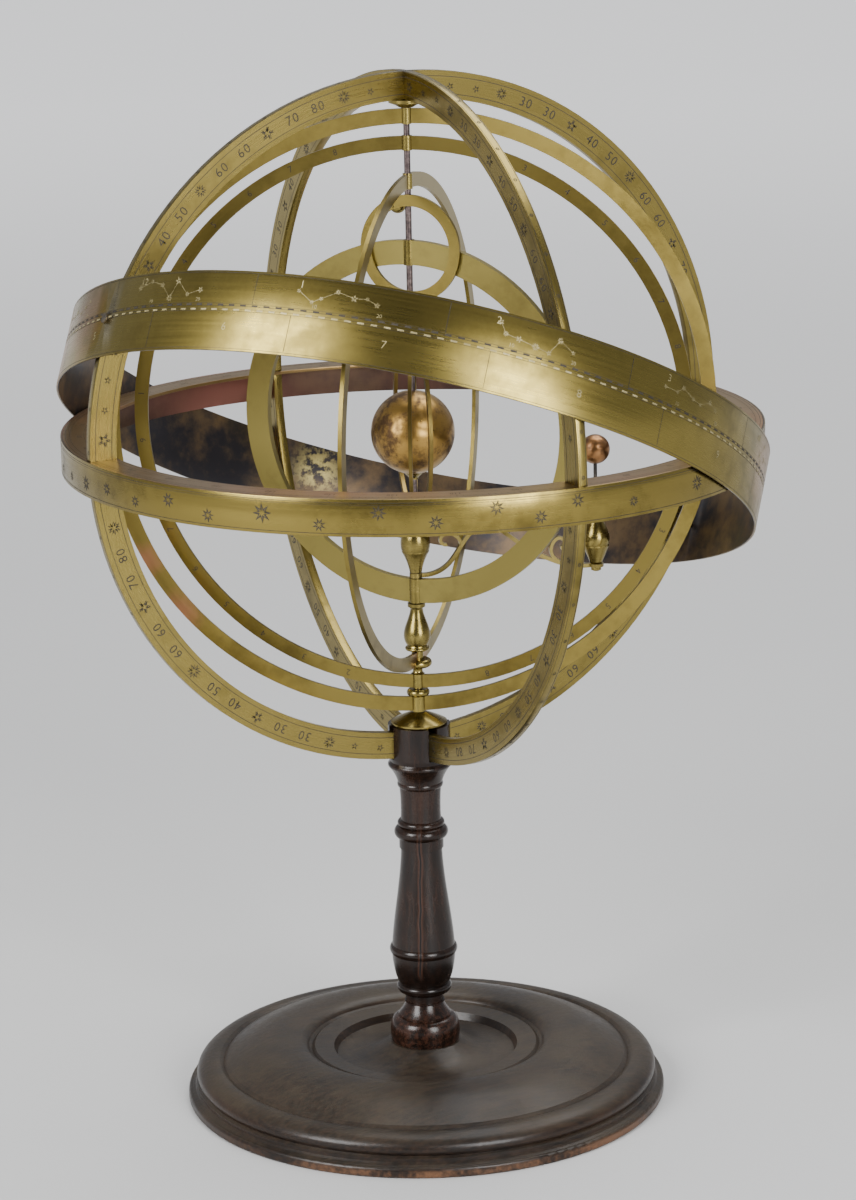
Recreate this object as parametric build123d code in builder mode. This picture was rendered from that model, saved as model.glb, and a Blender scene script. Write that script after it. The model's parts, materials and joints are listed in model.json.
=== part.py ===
from build123d import *
from math import atan, cos, degrees, radians, sin, sqrt, tan
import os

# Copernican armillary sphere on a turned wooden stand. Millimetres, +Z up.
# Origin: centre of the base's resting face. The solstice colure lies in the XZ plane
# and the equinox colure in the YZ plane. Angles are measured about +Z from +X.

os.makedirs("parts", exist_ok=True)

# Fits
running = 0.05          # radial clearance of a piece that turns on the rod
play = 0.3              # axial clearance between pieces that turn separately
seat = 0.05             # clearance of a fixed piece in its slot or hole

# Base board: its radius, then how far in from the edge each moulding lies
base_radius = 105.3
lip_height = 4.6
lip_groove_inset = 2.9
lip_groove_rise = 1.4
board_fillet_inset = 3.7
board_fillet_rise = 1.4
torus_inset = 4.9
torus_rise = 0.9
torus_belly_inset = 3.9
torus_belly_rise = 3.1
crown_inset = 8.9
crown_rise = 4.6
ridge_inset = 14.1
ridge_rise = 0.4
groove_inset = 15.8
groove_depth = 1.0
dome_foot_inset = 17.5
dome_foot_rise = 0.4
dome_height = 7.4
dish_height = 3.0
dish_depth = 3.0
dome_crest_share = 0.717     # of the dome's foot radius
ring_groove_share = 0.572
flat_share = 0.558
dish_share = 0.462
dish_wall = 1.6
ring_groove_depth = 1.0
cone_foot_share = 0.307
foot_pad_height = 5.4
socket_radius = 7.0
socket_depth = 14.0

# Turned column, stations from the foot up: radius, then height above the board
foot_radius = 14.8
foot_belly_radius = 15.3
foot_belly_rise = 4.6
foot_top_radius = 11.7
foot_top_rise = 12.2
neck_radius = 8.3
neck_rise = 18.4
neck_height = 3.6
flange_radius = 12.0
flange_height = 4.6
bulb_radius = 13.9
bulb_foot_radius = 10.9
bulb_height = 13.8
ridge_bead_radius = 14.9
ridge_bead_height = 4.2
vase_radius = 13.8
vase_top_radius = 9.0
vase_height = 44.4
fillet_radius = 9.7
fillet_height = 4.4
big_bead_radius = 11.8
big_bead_height = 5.6
small_bead_radius = 10.3
small_bead_height = 2.8
shaft_radius = 8.85
shaft_waist_radius = 8.7
shaft_height = 14.6
astragal_radius = 10.0
astragal_height = 2.6
cyma_top_radius = 13.4
cyma_height = 7.0
moulding_radius = 13.9
moulding_height = 2.0
capital_radius = 13.5
capital_height = 17.2
tenon_length = 13.0

# Colures, the two great hoops that carry everything
colure_gap = 6.2          # between Saturn's hoop and the colures
colure_width = 11.6
colure_thickness = 4.0
slot_depth = 14.4

# Equator: a flat flange let into the colures and a thin band outside them
flange_overhang = 0.8     # how far the flange stands inside the colures
flange_thickness = 1.4
flange_drop = 0.9       # flange's upper face below the sphere's centre
band_gap = 0.3          # between the colures and the band
band_wall = 0.9
band_height = 14.9

# Zodiac band
zodiac_gap = 0.15         # between the equator band's edge and the zodiac
zodiac_wall = 0.9
zodiac_width = 33.0
zodiac_tilt = 28.3
zodiac_high_angle = -144.0
zodiac_drop = 3.0
screw_radius = 1.0
screw_head_radius = 2.1
screw_head_height = 0.7
screw_bite = 5.0        # length of the screw in the colure
pad_width = 3.2
pad_height = 7.0

# Polar rod and what is threaded on it
rod_radius = 1.35
rod_top = 2.2           # length of the rod inside the colure at the top
rod_tail = 26.0         # length of the rod below the capital's top
boss_radius = 7.4
boss_flange = 1.4
boss_nose_radius = 3.1
sun_radius = 17.9
sun_drop = 5.1
sun_collar_radius = 4.3
sun_collar_foot_radius = 1.95
sun_collar_height = 3.0
disc_radius = 12.2
disc_edge = 1.1
disc_top_radius = 3.3

# Planet rings: gap to the next ring or ball inside, radial width, thickness, angle
# and how high the centre lies above the sphere's centre
mercury = dict(gap=15.6, width=3.0, thickness=1.6, angle=-118.6, lift=-4.4)
venus = dict(gap=4.7, width=3.1, thickness=1.6, angle=-106.7, lift=-0.9)
earth = dict(gap=23.8, width=10.3, thickness=3.3, angle=128.6, lift=-1.2)
mars = dict(gap=21.8, width=6.1, thickness=1.7, angle=-132.7, lift=-1.2)
jupiter = dict(gap=7.3, width=5.8, thickness=1.6, angle=147.4, lift=1.6)
saturn = dict(gap=4.6, width=6.3, thickness=1.6, angle=157.8, lift=2.2)
upper_sleeve_radius = 2.1
sleeve_reach = 0.2      # how far a sleeve stands past the strip at each end
inner_sleeve_radius = 2.4
earth_sleeve_radius = 2.85
jupiter_sleeve_radius = 2.15
saturn_sleeve_radius = 2.8
mars_sleeve_radius = 2.6
mars_bead_radius = 6.2
mars_bead_height = 3.4

# Turned pieces of the polar column, which stand between the rings
bulb_piece_radius = 6.3
bulb_piece_height = 11.0
bulb_shoulder_radius = 5.9
cone_piece_foot_radius = 2.6
baluster_belly_radius = 5.75
baluster_rim_radius = 3.8
baluster_foot_radius = 5.3
baluster_waist_radius = 2.7
spool_radius = 2.1
spool_end_radius = 3.0
collar_radius = 5.0

# Moon's orbit on the Earth's ring
lunar_radius = 22.8
lunar_width = 4.8
lunar_thickness = 1.6
lunar_clearance = 2.1   # between it and Mars's hoop above
lunar_shift = 1.8
moon_radius = 3.55
moon_seat = 1.1         # the Moon's peg from the lunar ring's inner edge
moon_angle = 66.9
moon_peg_radius = 0.6

# Earth on its arm
arm_angle = -17.6
arm_overreach = 0.6     # how far the Earth's axis lies outside its ring
arm_width = 2.2
arm_strip = 1.7
arm_eye_radius = 2.7
arm_eye_height = 2.0
arm_plate_radius = 3.3
arm_plate_thickness = 1.4
arm_rise = 20.5
curl_radius = 5.6
curl_eye_radius = 2.3
pivot_cone_radius = 5.9
lower_cone_height = 8.6
lower_cone_foot_radius = 2.5
upper_cone_height = 14.6
upper_cone_mid_radius = 4.0
upper_cone_top_radius = 1.6
stem_radius = 1.5
nut_radius = 2.2
nut_height = 1.5
spindle_radius = 0.8
earth_ball_radius = 6.4
earth_ball_rise = 51.0

# Heights that follow from the sizes above
lip_groove_z = lip_height + lip_groove_rise
board_fillet_z = lip_groove_z + board_fillet_rise
torus_z = board_fillet_z + torus_rise
torus_belly_z = torus_z + torus_belly_rise
crown_z = torus_belly_z + crown_rise
ridge_z = crown_z + ridge_rise
groove_z = ridge_z - groove_depth
dome_foot_z = ridge_z + dome_foot_rise
dome_crest_z = dome_foot_z + dome_height
flat_z = dome_crest_z - dish_height
dish_edge_z = flat_z - 0.8
dish_floor_z = dish_edge_z - dish_depth
lip_groove_radius = base_radius - lip_groove_inset
board_fillet_radius = base_radius - board_fillet_inset
torus_radius = base_radius - torus_inset
torus_belly_radius = base_radius - torus_belly_inset
crown_radius = base_radius - crown_inset
ridge_radius = base_radius - ridge_inset
groove_radius = base_radius - groove_inset
dome_foot_radius = base_radius - dome_foot_inset
dome_crest_radius = dome_crest_share * dome_foot_radius
ring_groove_radius = ring_groove_share * dome_foot_radius
flat_radius = flat_share * dome_foot_radius
dish_radius = dish_share * dome_foot_radius
dish_floor_radius = dish_radius - dish_wall
cone_foot_radius = cone_foot_share * dome_foot_radius
ring_groove_z = flat_z - ring_groove_depth
foot_z = dish_floor_z + foot_pad_height
neck_z = foot_z + neck_rise
flange_bead_z = neck_z + neck_height
bulb_z = flange_bead_z + flange_height
ridge_bead_z = bulb_z + bulb_height
vase_z = ridge_bead_z + ridge_bead_height
fillet_z = vase_z + vase_height
big_bead_z = fillet_z + fillet_height
small_bead_z = big_bead_z + big_bead_height
shaft_z = small_bead_z + small_bead_height
astragal_z = shaft_z + shaft_height
cyma_z = astragal_z + astragal_height
moulding_z = cyma_z + cyma_height
capital_z = moulding_z + moulding_height
capital_top_z = capital_z + capital_height
ring_reach = sun_radius
for ring in (mercury, venus, earth, mars, jupiter, saturn):
    ring["radius"] = ring_reach + ring["gap"] + ring["width"]
    ring_reach = ring["radius"]
colure_inner_radius = ring_reach + colure_gap
colure_radius = colure_inner_radius + colure_width
centre_z = capital_top_z - slot_depth + colure_radius
lap_radius = colure_radius - colure_width / 2
band_inner_radius = colure_radius + band_gap
band_radius = band_inner_radius + band_wall
flange_top_z = centre_z - flange_drop
zodiac_z = centre_z - zodiac_drop
band_foot_z = flange_top_z - band_height
flange_inner_radius = colure_inner_radius - flange_overhang
zodiac_inner_radius = sqrt(band_radius**2 + (zodiac_z - band_foot_z) ** 2) + zodiac_gap
zodiac_radius = zodiac_inner_radius + zodiac_wall
boss_top_z = centre_z + sqrt(colure_inner_radius**2 - boss_radius**2)
sun_z = centre_z - sun_drop
bore_radius = rod_radius + running
hub_radius = rod_radius + seat


def ring_plane(angle, height, offset=0.0):
    """Vertical plane through the axis; its x runs outwards at the angle, its y upwards."""
    outward = (cos(radians(angle)), sin(radians(angle)), 0)
    normal = (sin(radians(angle)), -cos(radians(angle)), 0)
    start = (normal[0] * offset, normal[1] * offset, height)
    return Plane(origin=start, x_dir=outward, z_dir=normal)


def save(builder, name):
    builder.part.label = name
    export_step(builder.part, f"parts/{name}.step")


def lowest(ring):
    return centre_z + ring["lift"] - ring["radius"]


def inner_floor(ring):
    return lowest(ring) + ring["width"]


def highest(ring):
    return centre_z + ring["lift"] + ring["radius"]


def orbit_ring(ring, upper_radius, lower_radius):
    """Two half hoops cut from sheet, which end at the sleeves on the rod."""
    middle = centre_z + ring["lift"]
    with BuildPart() as hoop:
        with BuildSketch(ring_plane(ring["angle"], middle)):
            Circle(ring["radius"])
            Circle(ring["radius"] - ring["width"], mode=Mode.SUBTRACT)
        extrude(amount=ring["thickness"] / 2, both=True)
        for radius, way in ((upper_radius, 1), (lower_radius, -1)):
            with BuildSketch(Plane.XY.offset(middle)):
                Circle(radius)
            extrude(amount=way * (ring["radius"] + 1), mode=Mode.SUBTRACT)
    return hoop


def sleeve(radius, low, high, bore):
    with BuildPart() as tube:
        with BuildSketch(Plane.XY.offset(low)):
            Circle(radius)
            Circle(bore, mode=Mode.SUBTRACT)
        extrude(amount=high - low)
    return tube


def turned(outline, bore):
    """A turned piece: outline(bore) draws the closed half profile in the XZ plane."""
    with BuildPart() as piece:
        with BuildSketch(Plane.XZ):
            with BuildLine():
                outline(bore)
            make_face()
        revolve(axis=Axis.Z)
    return piece


# Base board, turned with a rim torus, a low dome and a dished centre
with BuildPart() as base_disc:
    with BuildSketch(Plane.XZ):
        with BuildLine():
            Line((0, 0), (base_radius - 0.6, 0))
            Line((base_radius - 0.6, 0), (base_radius, 0.8))
            Line((base_radius, 0.8), (base_radius, lip_height - 1.4))
            ThreePointArc(
                (base_radius, lip_height - 1.4),
                (base_radius - 0.5, lip_height - 0.4),
                (base_radius - 1.6, lip_height),
            )
            Line((base_radius - 1.6, lip_height), (lip_groove_radius, lip_groove_z - 0.8))
            Line((lip_groove_radius, lip_groove_z - 0.8), (board_fillet_radius, lip_groove_z))
            Line((board_fillet_radius, lip_groove_z), (board_fillet_radius, board_fillet_z))
            Line((board_fillet_radius, board_fillet_z), (torus_radius, torus_z))
            Spline(
                (torus_radius, torus_z),
                (torus_belly_radius, torus_belly_z),
                (crown_radius, crown_z),
                (ridge_radius, ridge_z),
            )
            Line((ridge_radius, ridge_z), (groove_radius, groove_z))
            Line((groove_radius, groove_z), (dome_foot_radius, dome_foot_z))
            Spline(
                (dome_foot_radius, dome_foot_z),
                (1.19 * dome_crest_radius, dome_foot_z + 0.74 * dome_height),
                (dome_crest_radius, dome_crest_z),
                (ring_groove_radius + 1.4, flat_z),
                tangents=((-1, 0.5), (-0.5, -1)),
            )
            Line((ring_groove_radius + 1.4, flat_z), (ring_groove_radius, ring_groove_z))
            Line((ring_groove_radius, ring_groove_z), (flat_radius, flat_z))
            Line((flat_radius, flat_z), (dish_radius, dish_edge_z))
            Line((dish_radius, dish_edge_z), (dish_floor_radius, dish_floor_z))
            Spline(
                (dish_floor_radius, dish_floor_z),
                (cone_foot_radius, dish_floor_z + 0.6),
                (foot_radius + 1.2, foot_z),
            )
            Line((foot_radius + 1.2, foot_z), (0, foot_z))
            Line((0, foot_z), (0, 0))
        make_face()
    revolve(axis=Axis.Z)
    with BuildSketch(Plane.XY.offset(foot_z)):
        Circle(socket_radius)
    extrude(amount=-socket_depth, mode=Mode.SUBTRACT)
save(base_disc, "base_disc")

# Column, turned in one piece, with a tenon below and a cross-slotted capital above
with BuildPart() as column:
    with BuildSketch(Plane.XZ):
        with BuildLine():
            Polyline(
                (0, foot_z - tenon_length),
                (socket_radius - seat, foot_z - tenon_length),
                (socket_radius - seat, foot_z),
                (foot_radius, foot_z),
            )
            Spline(
                (foot_radius, foot_z),
                (foot_belly_radius, foot_z + foot_belly_rise),
                (foot_top_radius + 0.6, foot_z + foot_top_rise - 0.9),
                (foot_top_radius, foot_z + foot_top_rise - 0.8),
            )
            Line((foot_top_radius, foot_z + foot_top_rise - 0.8), (foot_top_radius, foot_z + foot_top_rise))
            ThreePointArc(
                (foot_top_radius, foot_z + foot_top_rise),
                (foot_top_radius - 2.4, foot_z + foot_top_rise + 3.4),
                (neck_radius, neck_z - 0.6),
            )
            Polyline(
                (neck_radius, neck_z - 0.6),
                (neck_radius + 0.5, neck_z - 0.6),
                (neck_radius + 0.5, neck_z),
                (neck_radius, neck_z),
                (neck_radius, flange_bead_z),
            )
            ThreePointArc(
                (neck_radius, flange_bead_z),
                (flange_radius - 0.6, flange_bead_z + 1.3),
                (flange_radius, flange_bead_z + 2.7),
            )
            ThreePointArc(
                (flange_radius, flange_bead_z + 2.7),
                (flange_radius - 0.3, bulb_z - 0.6),
                (bulb_foot_radius, bulb_z),
            )
            Spline(
                (bulb_foot_radius, bulb_z),
                (bulb_foot_radius + 2.5, bulb_z + 0.62 * bulb_height),
                (bulb_radius, ridge_bead_z),
                tangents=((0.5, 1), (0, 1)),
            )
            ThreePointArc(
                (bulb_radius, ridge_bead_z),
                (ridge_bead_radius, ridge_bead_z + ridge_bead_height / 2),
                (vase_radius, vase_z),
            )
            Spline(
                (vase_radius, vase_z),
                (vase_radius - 1.2, vase_z + 0.26 * vase_height),
                (vase_top_radius + 1.0, vase_z + 0.7 * vase_height),
                (vase_top_radius, fillet_z),
            )
            Polyline((vase_top_radius, fillet_z), (fillet_radius, fillet_z), (fillet_radius, big_bead_z))
            ThreePointArc(
                (fillet_radius, big_bead_z),
                (big_bead_radius, big_bead_z + big_bead_height / 2),
                (fillet_radius, small_bead_z),
            )
            ThreePointArc(
                (fillet_radius, small_bead_z),
                (small_bead_radius, small_bead_z + small_bead_height / 2),
                (shaft_radius, shaft_z),
            )
            ThreePointArc(
                (shaft_radius, shaft_z),
                (shaft_waist_radius, shaft_z + 0.4 * shaft_height),
                (shaft_radius + 0.25, astragal_z),
            )
            ThreePointArc(
                (shaft_radius + 0.25, astragal_z),
                (astragal_radius, astragal_z + astragal_height / 2),
                (shaft_radius + 0.9, cyma_z),
            )
            Spline(
                (shaft_radius + 0.9, cyma_z),
                (astragal_radius + 0.9, cyma_z + 0.45 * cyma_height),
                (cyma_top_radius, moulding_z),
            )
            ThreePointArc(
                (cyma_top_radius, moulding_z),
                (moulding_radius, moulding_z + moulding_height / 2),
                (capital_radius, capital_z),
            )
            Polyline(
                (capital_radius, capital_z),
                (capital_radius - 0.5, capital_z + 0.8),
                (capital_radius, capital_z + 2.6),
                (capital_radius, capital_top_z),
                (0, capital_top_z),
                (0, foot_z - tenon_length),
            )
        make_face()
    revolve(axis=Axis.Z)
    with BuildSketch(Plane.XY.offset(capital_top_z)):
        Rectangle(2 * capital_radius + 4, colure_thickness + 2 * seat)
        Rectangle(colure_thickness + 2 * seat, 2 * capital_radius + 4)
    extrude(amount=-slot_depth, mode=Mode.SUBTRACT)
    with BuildSketch(Plane.XY.offset(capital_top_z)):
        Circle(hub_radius)
    extrude(amount=-rod_tail - play, mode=Mode.SUBTRACT)
save(column, "column")


def colure(angle, lap_side, screw_elevations):
    """A hoop of stout brass, halved into its twin at both poles and let into the equator.

    lap_side is "outer" when the notch at each pole opens outwards, else "inner".
    """
    lap_width = colure_thickness + 2 * seat
    with BuildPart() as hoop:
        with BuildSketch(ring_plane(angle, centre_z)):
            Circle(colure_radius)
            Circle(colure_inner_radius, mode=Mode.SUBTRACT)
            lap = lap_radius - seat if lap_side == "outer" else lap_radius + seat
            span = colure_radius + 1 - lap if lap_side == "outer" else lap - colure_inner_radius + 2
            middle = lap + span / 2 if lap_side == "outer" else lap - span / 2
            with Locations((0, middle), (0, -middle)):
                Rectangle(lap_width, span, mode=Mode.SUBTRACT)
            notch_z = -flange_drop - flange_thickness / 2
            notch_length = lap_radius + seat - colure_inner_radius + 2
            notch_middle = lap_radius + seat - notch_length / 2
            with Locations((notch_middle, notch_z), (-notch_middle, notch_z)):
                Rectangle(notch_length, flange_thickness + 2 * seat, mode=Mode.SUBTRACT)
        extrude(amount=colure_thickness / 2, both=True)
        with BuildSketch(Plane.XY.offset(centre_z)):
            Circle(hub_radius)
        extrude(amount=colure_inner_radius + rod_top, mode=Mode.SUBTRACT)
        with BuildSketch(Plane.XY.offset(centre_z)):
            Circle(hub_radius)
        extrude(amount=-colure_radius - 1, mode=Mode.SUBTRACT)
        for bearing, rise in screw_elevations:
            with BuildSketch(screw_plane(bearing, rise, colure_radius - screw_bite)):
                Circle(screw_radius + seat)
            extrude(amount=screw_bite + 4, mode=Mode.SUBTRACT)
    return hoop


def zodiac_axis():
    """Unit vector of the zodiac's axis, tipped away from its high point."""
    tilt = radians(zodiac_tilt)
    high = radians(zodiac_high_angle)
    return Vector(-sin(tilt) * cos(high), -sin(tilt) * sin(high), cos(tilt))


def zodiac_crossing(bearing):
    """Height above the zodiac's centre where its middle line crosses a vertical hoop."""
    slope = tan(radians(zodiac_tilt)) * cos(radians(bearing - zodiac_high_angle))
    return atan(slope)


def screw_plane(bearing, elevation, distance):
    """Plane whose normal points straight out through the zodiac's middle line."""
    normal = Vector(
        cos(elevation) * cos(radians(bearing)),
        cos(elevation) * sin(radians(bearing)),
        sin(elevation),
    )
    return Plane(origin=Vector(0, 0, zodiac_z) + normal * distance, z_dir=normal)


solstice_bearings = (180, 0)
equinox_bearings = (-90, 90)
screw_places = [(bearing, zodiac_crossing(bearing)) for bearing in solstice_bearings]
pad_places = [(bearing, zodiac_crossing(bearing)) for bearing in equinox_bearings]

solstice_colure = colure(0, "outer", screw_places)
save(solstice_colure, "solstice_colure")
equinox_colure = colure(90, "inner", [])
save(equinox_colure, "equinox_colure")

# Equator flange, notched from outside where the colures pass
with BuildPart() as equator_flange:
    with BuildSketch(Plane.XY.offset(flange_top_z - flange_thickness)):
        Circle(band_inner_radius)
        Circle(flange_inner_radius, mode=Mode.SUBTRACT)
        notch = band_inner_radius - lap_radius + 2
        with PolarLocations(lap_radius + seat + notch / 2, 4):
            Rectangle(notch, colure_thickness + 2 * seat, mode=Mode.SUBTRACT)
    extrude(amount=flange_thickness)
save(equator_flange, "equator_flange")

with BuildPart() as equator_band:
    with BuildSketch(Plane.XY.offset(flange_top_z - band_height)):
        Circle(band_radius)
        Circle(band_inner_radius, mode=Mode.SUBTRACT)
    extrude(amount=band_height)
save(equator_band, "equator_band")

# Zodiac band
with BuildPart() as zodiac_band:
    with BuildSketch(Plane(origin=(0, 0, zodiac_z), z_dir=zodiac_axis())):
        Circle(zodiac_radius)
        Circle(zodiac_inner_radius, mode=Mode.SUBTRACT)
    extrude(amount=zodiac_width / 2, both=True)
    for bearing, rise in screw_places:
        with BuildSketch(screw_plane(bearing, rise, zodiac_inner_radius - 2)):
            Circle(screw_radius + seat)
        extrude(amount=6, mode=Mode.SUBTRACT)
save(zodiac_band, "zodiac_band")

with BuildPart() as zodiac_screws:
    for bearing, rise in screw_places:
        with BuildSketch(screw_plane(bearing, rise, colure_radius - screw_bite + play)):
            Circle(screw_radius)
        extrude(amount=zodiac_radius - colure_radius + screw_bite - play)
        with BuildSketch(screw_plane(bearing, rise, zodiac_radius)):
            Circle(screw_head_radius)
        extrude(amount=screw_head_height)
save(zodiac_screws, "zodiac_screws")

# Solder that fills the space between the equinox colure and the zodiac
with BuildPart() as zodiac_solder:
    for bearing, rise in pad_places:
        with BuildSketch(screw_plane(bearing, rise, colure_radius - 4)):
            Rectangle(pad_height, pad_width)
        extrude(amount=zodiac_inner_radius - colure_radius + 6)
    with BuildSketch(ring_plane(90, centre_z)):
        Circle(colure_radius)
    extrude(amount=colure_thickness, both=True, mode=Mode.SUBTRACT)
    with BuildSketch(Plane(origin=(0, 0, zodiac_z), z_dir=zodiac_axis())):
        Circle(zodiac_radius + 6)
        Circle(zodiac_inner_radius, mode=Mode.SUBTRACT)
    extrude(amount=zodiac_width, both=True, mode=Mode.SUBTRACT)
save(zodiac_solder, "zodiac_solder")

# Boss under the upper crossing, the rod, the Sun and its collar
def boss_outline(bore):
    nose_z = highest(saturn) + sleeve_reach + play
    Polyline(
        (bore, boss_top_z),
        (boss_radius, boss_top_z),
        (boss_radius, boss_top_z - boss_flange),
    )
    ThreePointArc(
        (boss_radius, boss_top_z - boss_flange),
        (boss_nose_radius + 1.4, nose_z + 0.4 * (boss_top_z - boss_flange - nose_z)),
        (boss_nose_radius, nose_z),
    )
    Polyline((boss_nose_radius, nose_z), (bore, nose_z), (bore, boss_top_z))


top_boss = turned(boss_outline, hub_radius)
save(top_boss, "top_boss")

rod_foot_z = capital_top_z - rod_tail
rod_head_z = centre_z + colure_inner_radius + rod_top - play
with BuildPart() as axis_rod:
    with BuildSketch(Plane.XY.offset(rod_foot_z)):
        Circle(rod_radius)
    extrude(amount=rod_head_z - rod_foot_z)
save(axis_rod, "axis_rod")

with BuildPart(Plane.XY.offset(sun_z)) as sun_ball:
    Sphere(sun_radius)
    Cylinder(hub_radius, 2 * sun_radius + 2, mode=Mode.SUBTRACT)
save(sun_ball, "sun_ball")


def sun_collar_outline(bore):
    top_z = sun_z - sqrt(sun_radius**2 - sun_collar_radius**2)
    foot = top_z - sun_collar_height
    Polyline((bore, foot), (sun_collar_foot_radius, foot), (sun_collar_foot_radius, foot + 0.6))
    ThreePointArc(
        (sun_collar_foot_radius, foot + 0.6),
        (sun_collar_radius - 1.1, top_z - 1.2),
        (sun_collar_radius, top_z),
    )
    Polyline((sun_collar_radius, top_z), (bore, top_z), (bore, foot))


sun_collar = turned(sun_collar_outline, hub_radius)
with sun_collar:
    with Locations((0, 0, sun_z)):
        Sphere(sun_radius + seat, mode=Mode.SUBTRACT)
save(sun_collar, "sun_collar")

# Domed disc that covers the slots in the capital
def disc_outline(bore):
    top_z = lowest(saturn) - sleeve_reach - play
    Polyline((bore, capital_top_z), (disc_radius - 0.4, capital_top_z), (disc_radius, capital_top_z + 0.4))
    Line((disc_radius, capital_top_z + 0.4), (disc_radius, capital_top_z + disc_edge))
    ThreePointArc(
        (disc_radius, capital_top_z + disc_edge),
        (0.66 * disc_radius, capital_top_z + 0.4 * disc_edge + 0.52 * (top_z - capital_top_z)),
        (disc_top_radius, top_z),
    )
    Polyline((disc_top_radius, top_z), (bore, top_z), (bore, capital_top_z))


pole_disc = turned(disc_outline, hub_radius)
save(pole_disc, "pole_disc")

# Orbit rings and their sleeves, from the outermost inwards
saturn_ring = orbit_ring(saturn, upper_sleeve_radius, saturn_sleeve_radius)
save(saturn_ring, "saturn_ring")
jupiter_ring = orbit_ring(jupiter, jupiter_sleeve_radius, jupiter_sleeve_radius)
save(jupiter_ring, "jupiter_ring")
mars_ring = orbit_ring(mars, upper_sleeve_radius, mars_sleeve_radius)
save(mars_ring, "mars_ring")
earth_ring = orbit_ring(earth, inner_sleeve_radius, earth_sleeve_radius)
save(earth_ring, "earth_orbit_ring")
venus_ring = orbit_ring(venus, inner_sleeve_radius, inner_sleeve_radius)
save(venus_ring, "venus_ring")
mercury_ring = orbit_ring(mercury, inner_sleeve_radius, inner_sleeve_radius)
save(mercury_ring, "mercury_ring")

sleeves = {
    "saturn": (saturn, upper_sleeve_radius, saturn_sleeve_radius),
    "jupiter": (jupiter, jupiter_sleeve_radius, jupiter_sleeve_radius),
    "earth_orbit": (earth, inner_sleeve_radius, earth_sleeve_radius),
    "venus": (venus, inner_sleeve_radius, inner_sleeve_radius),
    "mercury": (mercury, inner_sleeve_radius, inner_sleeve_radius),
}
for name, (ring, upper_radius, lower_radius) in sleeves.items():
    upper_low = highest(ring) - ring["width"] - sleeve_reach
    upper = sleeve(upper_radius, upper_low, highest(ring) + sleeve_reach, bore_radius)
    save(upper, f"{name}_upper_sleeve")
    lower = sleeve(lower_radius, lowest(ring) - sleeve_reach, inner_floor(ring) + sleeve_reach, bore_radius)
    save(lower, f"{name}_lower_sleeve")

mars_upper_low = highest(mars) - mars["width"] - sleeve_reach
mars_upper_sleeve = sleeve(upper_sleeve_radius, mars_upper_low, highest(mars) + sleeve_reach, bore_radius)
save(mars_upper_sleeve, "mars_upper_sleeve")

# Mars's lower sleeve carries a bead, slotted for the hoop
mars_sleeve_low = lowest(mars) - 4 * sleeve_reach
mars_sleeve_high = inner_floor(mars) + sleeve_reach
with BuildPart() as mars_lower_sleeve:
    with BuildSketch(Plane.XZ):
        with BuildLine():
            Polyline(
                (bore_radius, mars_sleeve_low + mars_bead_height),
                (bore_radius, mars_sleeve_low),
                (mars_bead_radius - 1.2, mars_sleeve_low),
            )
            ThreePointArc(
                (mars_bead_radius - 1.2, mars_sleeve_low),
                (mars_bead_radius, mars_sleeve_low + mars_bead_height / 2),
                (mars_bead_radius - 1.2, mars_sleeve_low + mars_bead_height),
            )
            Line(
                (mars_bead_radius - 1.2, mars_sleeve_low + mars_bead_height),
                (bore_radius, mars_sleeve_low + mars_bead_height),
            )
        make_face()
    revolve(axis=Axis.Z)
    with BuildSketch(ring_plane(mars["angle"], centre_z + mars["lift"])):
        Circle(mars["radius"])
        Circle(mars["radius"] - mars["width"], mode=Mode.SUBTRACT)
    extrude(amount=mars["thickness"] / 2, both=True, mode=Mode.SUBTRACT)
    with BuildSketch(Plane.XY.offset(mars_sleeve_low)):
        Circle(mars_sleeve_radius)
        Circle(bore_radius, mode=Mode.SUBTRACT)
    extrude(amount=mars_sleeve_high - mars_sleeve_low)
save(mars_lower_sleeve, "mars_lower_sleeve")

# Fixed turned pieces between the rings, from the lowest up
saturn_sleeve_top = inner_floor(saturn) + sleeve_reach
jupiter_sleeve_low = lowest(jupiter) - sleeve_reach
jupiter_sleeve_top = inner_floor(jupiter) + sleeve_reach
earth_sleeve_low = lowest(earth) - sleeve_reach
earth_sleeve_top = inner_floor(earth) + sleeve_reach
venus_sleeve_low = lowest(venus) - sleeve_reach


def collar_outline(bore):
    low = saturn_sleeve_top + play
    high = jupiter_sleeve_low - play
    Polyline((bore, high), (bore, low), (collar_radius - 0.9, low))
    ThreePointArc((collar_radius - 0.9, low), (collar_radius, (low + high) / 2), (collar_radius - 0.9, high))
    Line((collar_radius - 0.9, high), (bore, high))


jupiter_collar = turned(collar_outline, hub_radius)
save(jupiter_collar, "jupiter_collar")


def spool_outline(bore):
    low = jupiter_sleeve_top + play
    high = mars_sleeve_low - play
    Polyline((bore, high), (bore, low), (spool_end_radius, low))
    ThreePointArc((spool_end_radius, low), (spool_radius, (low + high) / 2), (spool_end_radius, high))
    Line((spool_end_radius, high), (bore, high))


jupiter_spool = turned(spool_outline, hub_radius)
save(jupiter_spool, "jupiter_spool")


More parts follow.
